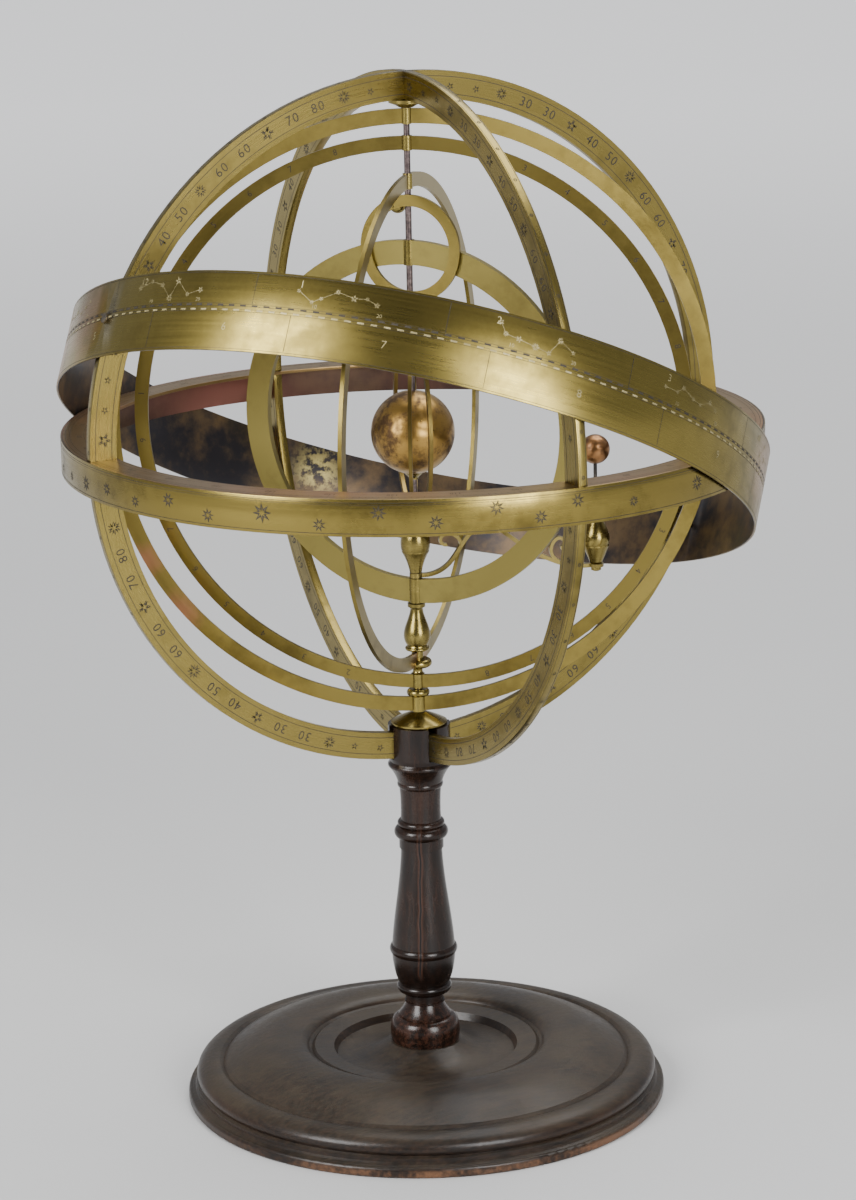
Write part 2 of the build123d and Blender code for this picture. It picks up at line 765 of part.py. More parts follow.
def baluster_outline(bore):
    low = mars_sleeve_high + play
    high = earth_sleeve_low - play
    height = high - low
    Polyline((bore, high), (bore, low), (baluster_foot_radius - 0.6, low))
    ThreePointArc(
        (baluster_foot_radius - 0.6, low),
        (baluster_foot_radius, low + 0.8),
        (baluster_foot_radius - 0.7, low + 1.6),
    )
    Line((baluster_foot_radius - 0.7, low + 1.6), (baluster_foot_radius - 0.9, low + 2.2))
    Spline(
        (baluster_foot_radius - 0.9, low + 2.2),
        (baluster_belly_radius, low + 0.34 * height),
        (baluster_waist_radius + 1.0, low + 0.68 * height),
        (baluster_waist_radius, high - 2.6),
    )
    ThreePointArc(
        (baluster_waist_radius, high - 2.6),
        (baluster_waist_radius + 0.4, high - 1.9),
        (baluster_rim_radius, high - 1.5),
    )
    Polyline((baluster_rim_radius, high - 1.5), (baluster_rim_radius, high), (bore, high))


baluster = turned(baluster_outline, hub_radius)
save(baluster, "baluster")

arm_eye_low = earth_sleeve_top + play
arm_eye_high = arm_eye_low + arm_eye_height
cone_low = arm_eye_high + play
bulb_high = venus_sleeve_low - play
bulb_low = bulb_high - bulb_piece_height


def cone_outline(bore):
    Polyline((bore, bulb_low), (bore, cone_low), (cone_piece_foot_radius, cone_low))
    Spline(
        (cone_piece_foot_radius, cone_low),
        (cone_piece_foot_radius + 1.1, cone_low + 0.45 * (bulb_low - cone_low)),
        (bulb_piece_radius - 0.4, bulb_low - 0.6),
    )
    Polyline((bulb_piece_radius - 0.4, bulb_low - 0.6), (bulb_piece_radius - 0.4, bulb_low), (bore, bulb_low))


lower_cone = turned(cone_outline, hub_radius)
save(lower_cone, "lower_cone")


def bulb_outline(bore):
    Polyline((bore, bulb_high), (bore, bulb_low), (bulb_piece_radius - 0.4, bulb_low))
    Spline(
        (bulb_piece_radius - 0.4, bulb_low),
        (bulb_piece_radius, bulb_low + 2.2),
        (bulb_shoulder_radius, bulb_low + 6.6),
        (inner_sleeve_radius + 0.5, bulb_high),
        tangents=((0.4, 1), (-1, 0.6)),
    )
    Line((inner_sleeve_radius + 0.5, bulb_high), (bore, bulb_high))


upper_bulb = turned(bulb_outline, hub_radius)
save(upper_bulb, "upper_bulb")

# Moon's orbit, soldered flat on the back of the Earth's ring
lunar_z = highest(mars) - mars["width"] - sleeve_reach - lunar_clearance - lunar_radius
moon_reach = lunar_radius - lunar_width + moon_seat
moon_shift = moon_reach * cos(radians(moon_angle)) - lunar_shift
moon_z = lunar_z + moon_reach * sin(radians(moon_angle))
lunar_plane = ring_plane(earth["angle"], lunar_z, -earth["thickness"] / 2)
with BuildPart() as lunar_ring:
    with BuildSketch(lunar_plane):
        with Locations((-lunar_shift, 0)):
            Circle(lunar_radius)
            Circle(lunar_radius - lunar_width, mode=Mode.SUBTRACT)
        with Locations((moon_shift, moon_z - lunar_z)):
            Circle(moon_peg_radius + seat, mode=Mode.SUBTRACT)
    extrude(amount=-lunar_thickness)
save(lunar_ring, "lunar_ring")

moon_depth = -earth["thickness"] / 2 + moon_radius + seat
moon_plane = ring_plane(earth["angle"], moon_z, moon_depth)
with BuildPart() as moon_ball:
    with BuildSketch(moon_plane):
        with Locations((moon_shift, 0)):
            Circle(moon_peg_radius)
    extrude(amount=-moon_radius - lunar_thickness)
    with Locations(moon_plane):
        with Locations((moon_shift, 0, 0)):
            Sphere(moon_radius)
save(moon_ball, "moon_ball")

# Arm that carries the Earth: a scrolled strip with an eye at the rod and a plate at the end
arm_base_z = arm_eye_low + arm_eye_height / 2
arm_reach = earth["radius"] + arm_overreach
arm_toe = arm_reach - arm_plate_radius + 0.6
arm_line = [
    (arm_eye_radius - 0.8, 0),
    (0.10 * arm_toe, 0.02 * arm_rise),
    (0.17 * arm_toe, 0.15 * arm_rise),
    (0.25 * arm_toe, 0.52 * arm_rise),
    (0.32 * arm_toe, 0.86 * arm_rise),
    (0.40 * arm_toe, arm_rise),
    (0.49 * arm_toe, 0.86 * arm_rise),
    (0.60 * arm_toe, 0.55 * arm_rise),
    (0.73 * arm_toe, 0.25 * arm_rise),
    (0.86 * arm_toe, 0.05 * arm_rise),
    (arm_toe, 0),
]


def beside(line, side):
    """The points of a line moved sideways by half the strip's thickness."""
    moved = []
    for i, (x, y) in enumerate(line):
        back = line[max(i - 1, 0)]
        on = line[min(i + 1, len(line) - 1)]
        run = sqrt((on[0] - back[0]) ** 2 + (on[1] - back[1]) ** 2)
        shift = side * arm_strip / 2
        moved.append((x - shift * (on[1] - back[1]) / run, y + shift * (on[0] - back[0]) / run))
    return moved


def bent_strip(heart, radius, start, turn):
    """Points of a strip bent round heart: start, middle and end outside, then the same inside."""
    points = []
    for r in (radius + 0.4 * arm_strip, radius - 0.4 * arm_strip):
        for share in (0, 0.5, 1):
            angle = radians(start + share * turn)
            points.append((heart[0] + r * cos(angle), heart[1] + r * sin(angle)))
    return points


def curl(foot, facing, turn):
    """A volute that grows out of the strip at foot and rolls up in two arcs, the second tighter."""
    first = 0.62 * turn
    heart = (foot[0] - curl_radius * cos(radians(facing)), foot[1] - curl_radius * sin(radians(facing)))
    last = radians(facing + first)
    step = curl_radius - curl_eye_radius
    eye = (heart[0] + step * cos(last), heart[1] + step * sin(last))
    return [
        bent_strip(heart, curl_radius, facing, first),
        bent_strip(eye, curl_eye_radius, facing + first, turn),
    ]


inner_curl = curl((0.26 * arm_toe, 0.58 * arm_rise), 0, 175)
outer_curl = curl((0.82 * arm_toe, 0.13 * arm_rise), 248, -200)

with BuildPart() as earth_arm:
    with BuildSketch(ring_plane(arm_angle, arm_base_z)):
        with BuildLine():
            upper = beside(arm_line, 1)
            lower = beside(arm_line, -1)
            Spline(*upper)
            Line(upper[-1], lower[-1])
            Spline(*lower)
            Line(upper[0], lower[0])
        make_face()
        for points in inner_curl + outer_curl:
            with BuildLine():
                ThreePointArc(*points[:3])
                Line(points[2], points[5])
                ThreePointArc(*points[3:])
                Line(points[3], points[0])
            make_face()
    extrude(amount=arm_width / 2, both=True)
    with BuildSketch(Plane.XY.offset(arm_eye_low)):
        Circle(arm_eye_radius)
    extrude(amount=arm_eye_height)
    arm_end = ring_plane(arm_angle, 0).from_local_coords((arm_reach, 0, 0))
    with BuildSketch(Plane.XY.offset(arm_base_z - arm_plate_thickness / 2)):
        with Locations((arm_end.X, arm_end.Y)):
            Circle(arm_plate_radius)
    extrude(amount=arm_plate_thickness)
    with BuildSketch(Plane.XY.offset(arm_eye_low)):
        Circle(bore_radius)
    extrude(amount=arm_eye_height, mode=Mode.SUBTRACT)
    with BuildSketch(Plane.XY.offset(arm_eye_low)):
        with Locations((arm_end.X, arm_end.Y)):
            Circle(stem_radius + seat)
    extrude(amount=arm_eye_height, mode=Mode.SUBTRACT)
save(earth_arm, "earth_arm")


def pivot_turned(outline, bore):
    """A turned piece on the Earth's own upright axis."""
    with BuildPart() as piece:
        with BuildSketch(Plane(origin=(arm_end.X, arm_end.Y, 0), x_dir=(1, 0, 0), z_dir=(0, -1, 0))):
            with BuildLine():
                outline(bore)
            make_face()
        revolve(axis=Axis((arm_end.X, arm_end.Y, 0), (0, 0, 1)))
    return piece


plate_top_z = arm_base_z + arm_plate_thickness / 2
plate_low_z = arm_base_z - arm_plate_thickness / 2
lower_cone_top_z = plate_top_z + lower_cone_height
pivot_bore = spindle_radius + running
spindle_foot_z = plate_top_z + 3.0


def earth_lower_outline(bore):
    stem_foot = plate_low_z - nut_height - 0.4
    Polyline(
        (0, spindle_foot_z - play),
        (0, stem_foot),
        (stem_radius, stem_foot),
        (stem_radius, plate_top_z),
        (lower_cone_foot_radius, plate_top_z),
        (pivot_cone_radius - 0.2, lower_cone_top_z - 0.8),
        (pivot_cone_radius - 0.2, lower_cone_top_z),
        (bore, lower_cone_top_z),
        (bore, spindle_foot_z - play),
        (0, spindle_foot_z - play),
    )


earth_lower_cone = pivot_turned(earth_lower_outline, pivot_bore)
save(earth_lower_cone, "earth_lower_cone")


def earth_upper_outline(bore):
    top_z = lower_cone_top_z + upper_cone_height
    Polyline((bore, top_z), (bore, lower_cone_top_z), (pivot_cone_radius - 0.3, lower_cone_top_z))
    Spline(
        (pivot_cone_radius - 0.3, lower_cone_top_z),
        (pivot_cone_radius, lower_cone_top_z + 1.4),
        (upper_cone_mid_radius, lower_cone_top_z + 0.6 * upper_cone_height),
        (upper_cone_top_radius, top_z),
    )
    Line((upper_cone_top_radius, top_z), (bore, top_z))


earth_upper_cone = pivot_turned(earth_upper_outline, pivot_bore)
save(earth_upper_cone, "earth_upper_cone")

with BuildPart() as arm_nut:
    with BuildSketch(Plane.XY.offset(plate_low_z - nut_height)):
        with Locations((arm_end.X, arm_end.Y)):
            Circle(nut_radius)
            Circle(stem_radius + seat, mode=Mode.SUBTRACT)
    extrude(amount=nut_height)
save(arm_nut, "arm_nut")

earth_ball_z = arm_base_z + earth_ball_rise
with BuildPart() as earth_spindle:
    with BuildSketch(Plane.XY.offset(spindle_foot_z)):
        with Locations((arm_end.X, arm_end.Y)):
            Circle(spindle_radius)
    extrude(amount=earth_ball_z - spindle_foot_z)
save(earth_spindle, "earth_spindle")

with BuildPart() as earth_ball:
    with Locations((arm_end.X, arm_end.Y, earth_ball_z)):
        Sphere(earth_ball_radius)
    with BuildSketch(Plane.XY.offset(earth_ball_z)):
        with Locations((arm_end.X, arm_end.Y)):
            Circle(spindle_radius + seat)
    extrude(amount=-earth_ball_radius - 1, mode=Mode.SUBTRACT)
save(earth_ball, "earth_ball")
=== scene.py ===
"""Looks of a sun-centred armillary sphere: engraved brass hoops on a turned wooden stand."""

import json
import logging
import math
import random
from dataclasses import dataclass, field
from enum import Enum
from typing import Dict, Iterable, List, Optional, Sequence, Tuple, Union

import bpy
from mathutils import Matrix, Vector

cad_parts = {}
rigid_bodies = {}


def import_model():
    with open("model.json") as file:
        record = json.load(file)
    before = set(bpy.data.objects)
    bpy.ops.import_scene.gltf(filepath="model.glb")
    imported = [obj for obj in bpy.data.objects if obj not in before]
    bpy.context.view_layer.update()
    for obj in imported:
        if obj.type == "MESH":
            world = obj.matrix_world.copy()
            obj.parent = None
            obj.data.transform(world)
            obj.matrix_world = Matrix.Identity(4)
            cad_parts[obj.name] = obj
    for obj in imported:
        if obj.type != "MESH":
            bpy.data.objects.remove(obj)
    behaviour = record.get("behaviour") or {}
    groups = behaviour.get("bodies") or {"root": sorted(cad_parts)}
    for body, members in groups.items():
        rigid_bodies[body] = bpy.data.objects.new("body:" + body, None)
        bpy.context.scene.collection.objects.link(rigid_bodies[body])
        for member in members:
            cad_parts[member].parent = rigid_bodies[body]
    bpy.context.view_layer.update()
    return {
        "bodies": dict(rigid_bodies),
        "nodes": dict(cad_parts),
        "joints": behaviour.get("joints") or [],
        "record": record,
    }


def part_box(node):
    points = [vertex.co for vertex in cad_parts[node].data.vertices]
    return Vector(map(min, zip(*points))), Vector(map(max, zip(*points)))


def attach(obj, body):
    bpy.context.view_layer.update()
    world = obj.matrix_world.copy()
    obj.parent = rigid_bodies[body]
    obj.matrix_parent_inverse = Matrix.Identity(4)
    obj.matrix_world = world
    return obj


log = logging.getLogger("armillary")

MM = 0.001
PLAN_TURN = -26.57          # turn from the camera's own frame to the object's, in degrees
CAGE = "sphere_frame"        # the body of everything that doesn't move
UP = (0.0, 0.0, 1.0)
EAST = (1.0, 0.0, 0.0)
INK_LIFT = 0.03             # how far engraving lies off its surface, in millimetres
ROUND = 300                 # pieces in which a line bends round a band
Colour = Tuple[float, float, float]
Number = Union[float, int]


class Slot(Enum):
    """The record's material slots."""

    WOOD = "dark_wood"
    SHEET = "sheet_brass"
    HOOP = "hoop_brass"
    TURNED = "turned_brass"
    GILT = "gilt"
    ROD = "iron_rod"
    SOLDER = "solder"
    SCREW = "screw_iron"


class Value:
    """One output socket of a shader, with Python's operators on it."""

    def __init__(self, shader: "Shader", socket: bpy.types.NodeSocket) -> None:
        """Wraps socket, which belongs to shader's node tree."""
        self.shader = shader
        self.socket = socket

    def _math(self, operation: str, *others: Union["Value", Number]) -> "Value":
        """Adds a Math node.

        Args:
            operation: Blender's name of the operation.
            others: the values that follow this one.

        Returns:
            The node's result.
        """
        return self.shader.node("ShaderNodeMath", {"operation": operation}, (self, *others))

    def __add__(self, other: Union["Value", Number]) -> "Value":
        """self + other."""
        return self._math("ADD", other)

    __radd__ = __add__

    def __sub__(self, other: Union["Value", Number]) -> "Value":
        """self - other."""
        return self._math("SUBTRACT", other)

    def __rsub__(self, other: Number) -> "Value":
        """other - self."""
        return self.shader.node("ShaderNodeMath", {"operation": "SUBTRACT"}, (other, self))

    def __mul__(self, other: Union["Value", Number]) -> "Value":
        """self * other."""
        return self._math("MULTIPLY", other)

    __rmul__ = __mul__

    def __abs__(self) -> "Value":
        """abs(self)."""
        return self._math("ABSOLUTE")

    def ramp(self, low: Number, high: Number) -> "Value":
        """Rises smoothly from 0 at low to 1 at high, or falls where low is the larger.

        Args:
            low: the value that gives 0.
            high: the value that gives 1.

        Returns:
            A value from 0 to 1.
        """
        settings = {"interpolation_type": "SMOOTHSTEP"}
        if low < high:
            inputs = {0: self, 1: low, 2: high, 3: 0.0, 4: 1.0}
        else:
            inputs = {0: self, 1: high, 2: low, 3: 1.0, 4: 0.0}
        return self.shader.node("ShaderNodeMapRange", settings, inputs)


Input = Union[Value, Number, Colour, Vector]


class Shader:
    """A material under construction, with one method for every kind of node."""

    def __init__(self, name: str) -> None:
        """Starts a material with an empty principled surface."""
        self.material = bpy.data.materials.new(name)
        self.material.use_nodes = True
        self.tree = self.material.node_tree
        self.surface = self.tree.nodes["Principled BSDF"]
        self._object: Optional[Value] = None

    def node(
        self,
        kind: str,
        settings: Optional[dict] = None,
        inputs: Union[Sequence[Input], Dict[Union[int, str], Input]] = (),
        output: Union[int, str] = 0,
    ) -> Value:
        """Adds a node.

        Args:
            kind: the node's type.
            settings: the node's own settings; stops gives a colour ramp's stops.
            inputs: values or links of its sockets, in order or by name.
            output: which of its outputs is wanted.

        Returns:
            The wanted output.
        """
        made = self.tree.nodes.new(kind)
        for name, value in (settings or {}).items():
            setattr(made, name, value)
        pairs = inputs.items() if isinstance(inputs, dict) else enumerate(inputs)
        for key, value in pairs:
            self.feed(made.inputs[key], value)
        return Value(self, made.outputs[output])

    def feed(self, socket: bpy.types.NodeSocket, value: Input) -> None:
        """Links value to socket, or sets it there if it is a constant."""
        if isinstance(value, Value):
            self.tree.links.new(value.socket, socket)
        elif isinstance(value, (tuple, Vector)) and socket.type == "RGBA":
            socket.default_value = (*value, 1.0)
        else:
            socket.default_value = value

    def place(self) -> Value:
        """The point on the piece in its own coordinates, in metres."""
        if self._object is None:
            self._object = self.node("ShaderNodeTexCoord", output="Object")
        return self._object

    def dot(self, vector: Value, direction: Sequence[float]) -> Value:
        """How far vector reaches along a direction."""
        return self.node(
            "ShaderNodeVectorMath", {"operation": "DOT_PRODUCT"}, (vector, Vector(direction)), "Value"
        )

    def less(self, vector: Value, point: Sequence[float]) -> Value:
        """vector - point, as a vector."""
        return self.node("ShaderNodeVectorMath", {"operation": "SUBTRACT"}, (vector, Vector(point)))

    def times(self, vector: Value, factors: Sequence[float]) -> Value:
        """vector with each part times its factor."""
        return self.node("ShaderNodeVectorMath", {"operation": "MULTIPLY"}, (vector, Vector(factors)))

    def length(self, vector: Value) -> Value:
        """The length of vector."""
        return self.node("ShaderNodeVectorMath", {"operation": "LENGTH"}, (vector,), "Value")

    def vector(self, x: Input, y: Input, z: Input) -> Value:
        """A vector of three values."""
        return self.node("ShaderNodeCombineXYZ", None, (x, y, z))

    def noise(
        self, scale: float, detail: float = 3.0, at: Optional[Value] = None, rough: float = 0.5
    ) -> Value:
        """Smooth noise from 0 to 1.

        Args:
            scale: features per metre.
            detail: octaves.
            at: where it is read, else the point on the piece.
            rough: how strong the finer octaves are.

        Returns:
            The noise.
        """
        return self.node(
            "ShaderNodeTexNoise",
            None,
            {"Vector": at or self.place(), "Scale": scale, "Detail": detail, "Roughness": rough},
            "Fac",
        )

    def mix(self, share: Value, first: Union[Value, Colour], second: Union[Value, Colour]) -> Value:
        """The first colour, turning into the second as share goes from 0 to 1."""
        return self.node(
            "ShaderNodeMix", {"data_type": "RGBA"}, {0: share, 6: first, 7: second}, 2
        )

    def bump(self, height: Value, distance: float, strength: float) -> Value:
        """A normal bent by height.

        Args:
            height: the relief, from 0 to 1.
            distance: how deep the relief is, in metres.
            strength: how much of it counts.

        Returns:
            The new normal.
        """
        inputs = {"Strength": strength, "Distance": distance, "Height": height}
        return self.node("ShaderNodeBump", None, inputs, "Normal")

    def finish(self, **sockets: Input) -> bpy.types.Material:
        """Feeds the surface's sockets; an underscore in a name stands for a space.

        Returns:
            The finished material.
        """
        for name, value in sockets.items():
            self.feed(self.surface.inputs[name.replace("_", " ")], value)
        return self.material


@dataclass(frozen=True)
class Ring:
    """A ring's own frame: its centre in metres and its axis, with a right-angled pair across."""

    centre: Tuple[float, float, float]
    axis: Tuple[float, float, float]
    start: Tuple[float, float, float]

    @property
    def across(self) -> Vector:
        """The direction a quarter turn on from start."""
        return Vector(self.axis).cross(Vector(self.start))

    def direction(self, angle: float) -> Vector:
        """The unit vector outwards at an angle in degrees."""
        turn = math.radians(angle)
        return Vector(self.start) * math.cos(turn) + self.across * math.sin(turn)


@dataclass(frozen=True)
class Spot:
    """A soft-edged place on a piece, in millimetres."""

    centre: Tuple[float, float, float]
    radius: float
    strength: float = 1.0

    def mask(self, shader: Shader, ragged: Value) -> Value:
        """The spot's share of each point, with a ragged edge."""
        reach = self.radius * MM
        away = shader.length(shader.less(shader.place(), Vector(self.centre) * MM))
        return (away + (ragged - 0.5) * reach).ramp(1.15 * reach, 0.15 * reach) * self.strength


@dataclass(frozen=True)
class Brass:
    """Old lacquered brass with a tarnish, fine scratches along its ring and red patches."""

    clean: Colour = (0.235, 0.178, 0.047)
    aged: Colour = (0.081, 0.059, 0.015)
    red: Colour = (0.40, 0.19, 0.10)
    roughness: float = 0.30
    tarnish: float = 0.6
    redness: float = 0.0
    scratch: float = 0.5
    patches: Tuple[Spot, ...] = ()
    dark_spots: Tuple[Spot, ...] = ()

    def along(self, shader: Shader, ring: Ring) -> Value:
        """Noise drawn out along the ring, as a lathe or an emery stick leaves it.

        Args:
            shader: the material.
            ring: the piece's ring.

        Returns:
            Noise from 0 to 1.
        """
        point = shader.less(shader.place(), ring.centre)
        x, y = shader.dot(point, ring.start), shader.dot(point, ring.across)
        height = shader.dot(point, ring.axis)
        reach = shader.length(shader.vector(x, y, 0.0))
        where = shader.vector(x * 14.0, y * 14.0, (height + reach) * 900.0)
        return shader.noise(1.0, 4.0, where, 0.65)

    def colour(self, shader: Shader, lines: Value) -> Tuple[Value, Value]:
        """The metal's colour and how tarnished each point is."""
        broad = shader.noise(16.0, 3.0)
        small = shader.noise(120.0, 4.0, rough=0.6)
        tarnish = (broad * 0.65 + small * 0.35).ramp(0.72 - 0.5 * self.tarnish, 0.86 - 0.3 * self.tarnish)
        colour = shader.mix(tarnish, self.clean, self.aged)
        colour = shader.mix((lines * 0.45) * tarnish, colour, self.clean)
        if self.redness > 0:
            cloud = shader.noise(9.0, 2.0, shader.less(shader.place(), (0.7, 0.2, 0.4)))
            red = cloud.ramp(0.75 - 0.4 * self.redness, 0.95 - 0.3 * self.redness)
            colour = shader.mix(red * min(1.0, self.redness * 1.6), colour, self.red)
        for patch in self.patches:
            colour = shader.mix(patch.mask(shader, small), colour, self.red)
        for spot in self.dark_spots:
            colour = shader.mix(spot.mask(shader, small), colour, (0.05, 0.04, 0.035))
        return colour, tarnish

    def polish(self, tarnish: Value, lines: Value) -> Value:
        """The metal's roughness, which grows with tarnish and along the scratches."""
        smooth = self.roughness - 0.11 * self.scratch
        return tarnish * 0.10 + lines * (0.22 * self.scratch) + smooth

    def material(self, name: str, ring: Ring) -> bpy.types.Material:
        """Makes the finish for a piece whose scratches run round ring."""
        shader = Shader(name)
        lines = self.along(shader, ring)
        colour, tarnish = self.colour(shader, lines)
        grit = shader.noise(700.0, 3.0)
        roughness = self.polish(tarnish, lines)
        normal = shader.bump(lines * 0.8 + grit * 0.2, 0.00004 * self.scratch, 0.55)
        return shader.finish(Base_Color=colour, Metallic=1.0, Roughness=roughness, Normal=normal)


TURNED_BRASS = Brass(
    clean=(0.235, 0.183, 0.056), aged=(0.084, 0.066, 0.018), roughness=0.25, tarnish=0.5, scratch=0.8
)


@dataclass(frozen=True)
class TwoFacedBrass(Brass):
    """A thin band whose outer face is kept bright and whose inner face is left dark."""

    middle: float = 0.15
    inner_dark: Colour = (0.030, 0.028, 0.034)
    inner_warm: Colour = (0.16, 0.105, 0.055)
    inner_red: Colour = (0.26, 0.10, 0.075)
    inner_redness: float = 0.0
    rubbed: Tuple[Spot, ...] = ()

    def material(self, name: str, ring: Ring) -> bpy.types.Material:
        """Makes the finish; the two faces meet at the middle of the wall."""
        shader = Shader(name)
        lines = self.along(shader, ring)
        outer, tarnish = self.colour(shader, lines)
        point = shader.less(shader.place(), ring.centre)
        x, y = shader.dot(point, ring.start), shader.dot(point, ring.across)
        reach = shader.length(shader.vector(x, y, 0.0))
        inside = reach.ramp(self.middle, self.middle - 0.0001)
        blotch = shader.noise(38.0, 5.0, rough=0.62)
        fine = shader.noise(240.0, 4.0, rough=0.6)
        inner = shader.mix((blotch * 0.8 + fine * 0.2).ramp(0.40, 0.66), self.inner_dark, self.inner_warm)
        if self.inner_redness > 0:
            red = shader.noise(10.0, 2.0).ramp(0.62 - 0.4 * self.inner_redness, 0.72)
            inner = shader.mix(red, inner, self.inner_red)
        for spot in self.rubbed:
            inner = shader.mix(spot.mask(shader, fine) * fine.ramp(0.42, 0.6), inner, (0.55, 0.45, 0.16))
        colour = shader.mix(inside, outer, inner)
        roughness = self.polish(tarnish, lines) * (1.0 - inside) + inside * (blotch * 0.22 + 0.27)
        metallic = 1.0 - inside * 0.35
        normal = shader.bump(lines * 0.7 + fine * 0.3, 0.00004 * self.scratch, 0.55)
        return shader.finish(Base_Color=colour, Metallic=metallic, Roughness=roughness, Normal=normal)


@dataclass(frozen=True)
class Gilt(Brass):
    """Gilding worn through to a brown ground, in specks and upright runs."""

    ground: Colour = (0.075, 0.040, 0.016)
    gold: Colour = (0.34, 0.205, 0.055)

    def material(self, name: str, ring: Ring) -> bpy.types.Material:
        """Makes the finish; the runs follow the ring's axis."""
        shader = Shader(name)
        point = shader.less(shader.place(), ring.centre)
        x, y = shader.dot(point, ring.start), shader.dot(point, ring.across)
        z = shader.dot(point, ring.axis)
        runs = shader.noise(1.0, 3.0, shader.vector(x * 260.0, y * 260.0, z * 45.0))
        specks = shader.noise(330.0, 5.0, rough=0.7)
        clouds = shader.noise(70.0, 3.0)
        worn = (clouds * 0.45 + specks * 0.35 + runs * 0.2).ramp(0.47, 0.60)
        colour = shader.mix(worn, self.gold, self.ground)
        colour = shader.mix(specks.ramp(0.62, 0.72) * 0.8, colour, (0.03, 0.02, 0.015))
        normal = shader.bump(worn * 0.6 + specks * 0.4, 0.00006, 0.6)
        return shader.finish(
            Base_Color=colour,
            Metallic=1.0 - worn * 0.25,
            Roughness=worn * 0.2 + specks * 0.1 + 0.24,
            Normal=normal,
        )


@dataclass(frozen=True)
class PlainMetal:
    """Iron, solder or the dark fill of an engraved line."""

    base: Colour
    streak: Colour
    roughness: float = 0.45
    metallic: float = 0.9
    grain: float = 260.0

    def material(self, name: str) -> bpy.types.Material:
        """Makes the finish."""
        shader = Shader(name)
        mottle = shader.noise(self.grain, 4.0, rough=0.65)
        long = shader.noise(60.0, 2.0)
        colour = shader.mix((mottle * 0.7 + long * 0.3).ramp(0.38, 0.66), self.base, self.streak)
        return shader.finish(
            Base_Color=colour,
            Metallic=self.metallic,
            Roughness=mottle * 0.2 + (self.roughness - 0.1),
            Normal=shader.bump(mottle, 0.00006, 0.5),
        )


@dataclass(frozen=True)
class DarkWood:
    """Turned fruitwood, stained nearly black, polished on the ridges and dusty on the flats, where a painted
    sheen also lightens the faces that look up.
    """

    deep: Colour = (0.0070, 0.0048, 0.0038)
    warm: Colour = (0.030, 0.0165, 0.0095)
    # colour of dust and of a painted sheen on the faces that look up
    dust_sheen_colour: Colour = (0.046, 0.039, 0.024)
    bare: Colour = (0.13, 0.062, 0.030)
    grain: Tuple[float, float, float] = (60.0, 700.0, 700.0)
    crack: bool = False

    def material(self, name: str) -> bpy.types.Material:
        """Makes the finish for the board or, with crack, for the column."""
        shader = Shader(name)
        place = shader.place()
        figure = shader.noise(1.0, 5.0, shader.times(place, self.grain), 0.65)
        clouds = shader.noise(26.0, 4.0, rough=0.55)
        pits = shader.noise(420.0, 4.0, rough=0.7)
        colour = shader.mix((figure * 0.55 + clouds * 0.45).ramp(0.36, 0.68), self.deep, self.warm)
        height = shader.node("ShaderNodeSeparateXYZ", None, (place,), "Z")
        reach = shader.length(shader.times(place, (1.0, 1.0, 0.0)))
        normal = shader.node("ShaderNodeTexCoord", output="Normal")
        upward = shader.dot(normal, (0.0, 0.0, 1.0)).ramp(0.35, 1.0)
        if self.crack:
            colour, dent, roughness = self.column(shader, colour, height, figure, clouds, pits)
        else:
            # faces that look up take dust plus a painted sheen: their colour is lightened by how far they
            # face upwards
            dust_and_sheen = upward * (clouds * 0.6 + pits * 0.4).ramp(0.3, 0.8)
            colour = shader.mix(dust_and_sheen * 0.62, colour, self.dust_sheen_colour)
            edge = height.ramp(0.0042, 0.0024) * reach.ramp(0.1040, 0.1050)
            front = shader.dot(place, (-0.25, -0.97, 0.0)).ramp(0.02, 0.10)
            worn = (pits * 0.35 + clouds * 0.65).ramp(0.38, 0.60)
            colour = shader.mix(edge * front * worn, colour, self.bare)
            colour = shader.mix(pits.ramp(0.70, 0.78) * 0.5, colour, (0.16, 0.13, 0.10))
            dent = figure * 0.25 + pits * 0.75
            roughness = dust_and_sheen * 0.22 + pits * 0.16 + 0.26
        return shader.finish(
            Base_Color=colour,
            Roughness=roughness,
            Specular_IOR_Level=0.26,
            Coat_Weight=0.08,
            Coat_Roughness=0.2,
            Normal=shader.bump(dent, 0.00022, 0.5),
        )

    def column(
        self, shader: Shader, colour: Value, height: Value, figure: Value, clouds: Value, pits: Value
    ) -> Tuple[Value, Value, Value]:
        """The column's own marks: a drying crack up its front, red rubs and pale scuffs.

        Args:
            shader: the material.
            colour: the wood's colour so far.
            height: the height above the table.
            figure: the grain.
            clouds: broad noise.
            pits: fine noise.

        Returns:
            The colour, the relief and the roughness.
        """
        facing = Vector((math.cos(math.radians(-122.0)), math.sin(math.radians(-122.0)), 0.0))
        aside = Vector((-facing.y, facing.x, 0.0))
        place = shader.place()
        front = shader.dot(place, facing).ramp(0.003, 0.006)
        wander = shader.noise(1.0, 2.0, shader.vector(0.0, 0.0, height * 60.0))
        off = abs(shader.dot(place, aside) + (wander - 0.5) * 0.0035)
        within = height.ramp(0.053, 0.058) * height.ramp(0.131, 0.112)
        gap = off.ramp(0.00060, 0.00024) * front * within
        lips = off.ramp(0.0016, 0.0004) * front * within
        rub = (clouds * 0.7 + figure * 0.3).ramp(0.52, 0.74)
        colour = shader.mix(rub * 0.5, colour, (0.042, 0.018, 0.011))
        foot = height.ramp(0.047, 0.030) * pits.ramp(0.42, 0.62)
        colour = shader.mix(foot * 0.5, colour, (0.055, 0.021, 0.012))
        colour = shader.mix(lips * 0.35, colour, (0.10, 0.045, 0.028))
        colour = shader.mix(gap, colour, (0.002, 0.001, 0.001))
        colour = shader.mix(pits.ramp(0.70, 0.80) * 0.35, colour, (0.20, 0.13, 0.09))
        dent = figure * 0.25 + pits * 0.45 - gap * 1.2 + 0.5
        return colour, dent, rub * 0.08 + pits * 0.16 + gap * 0.4 + 0.17


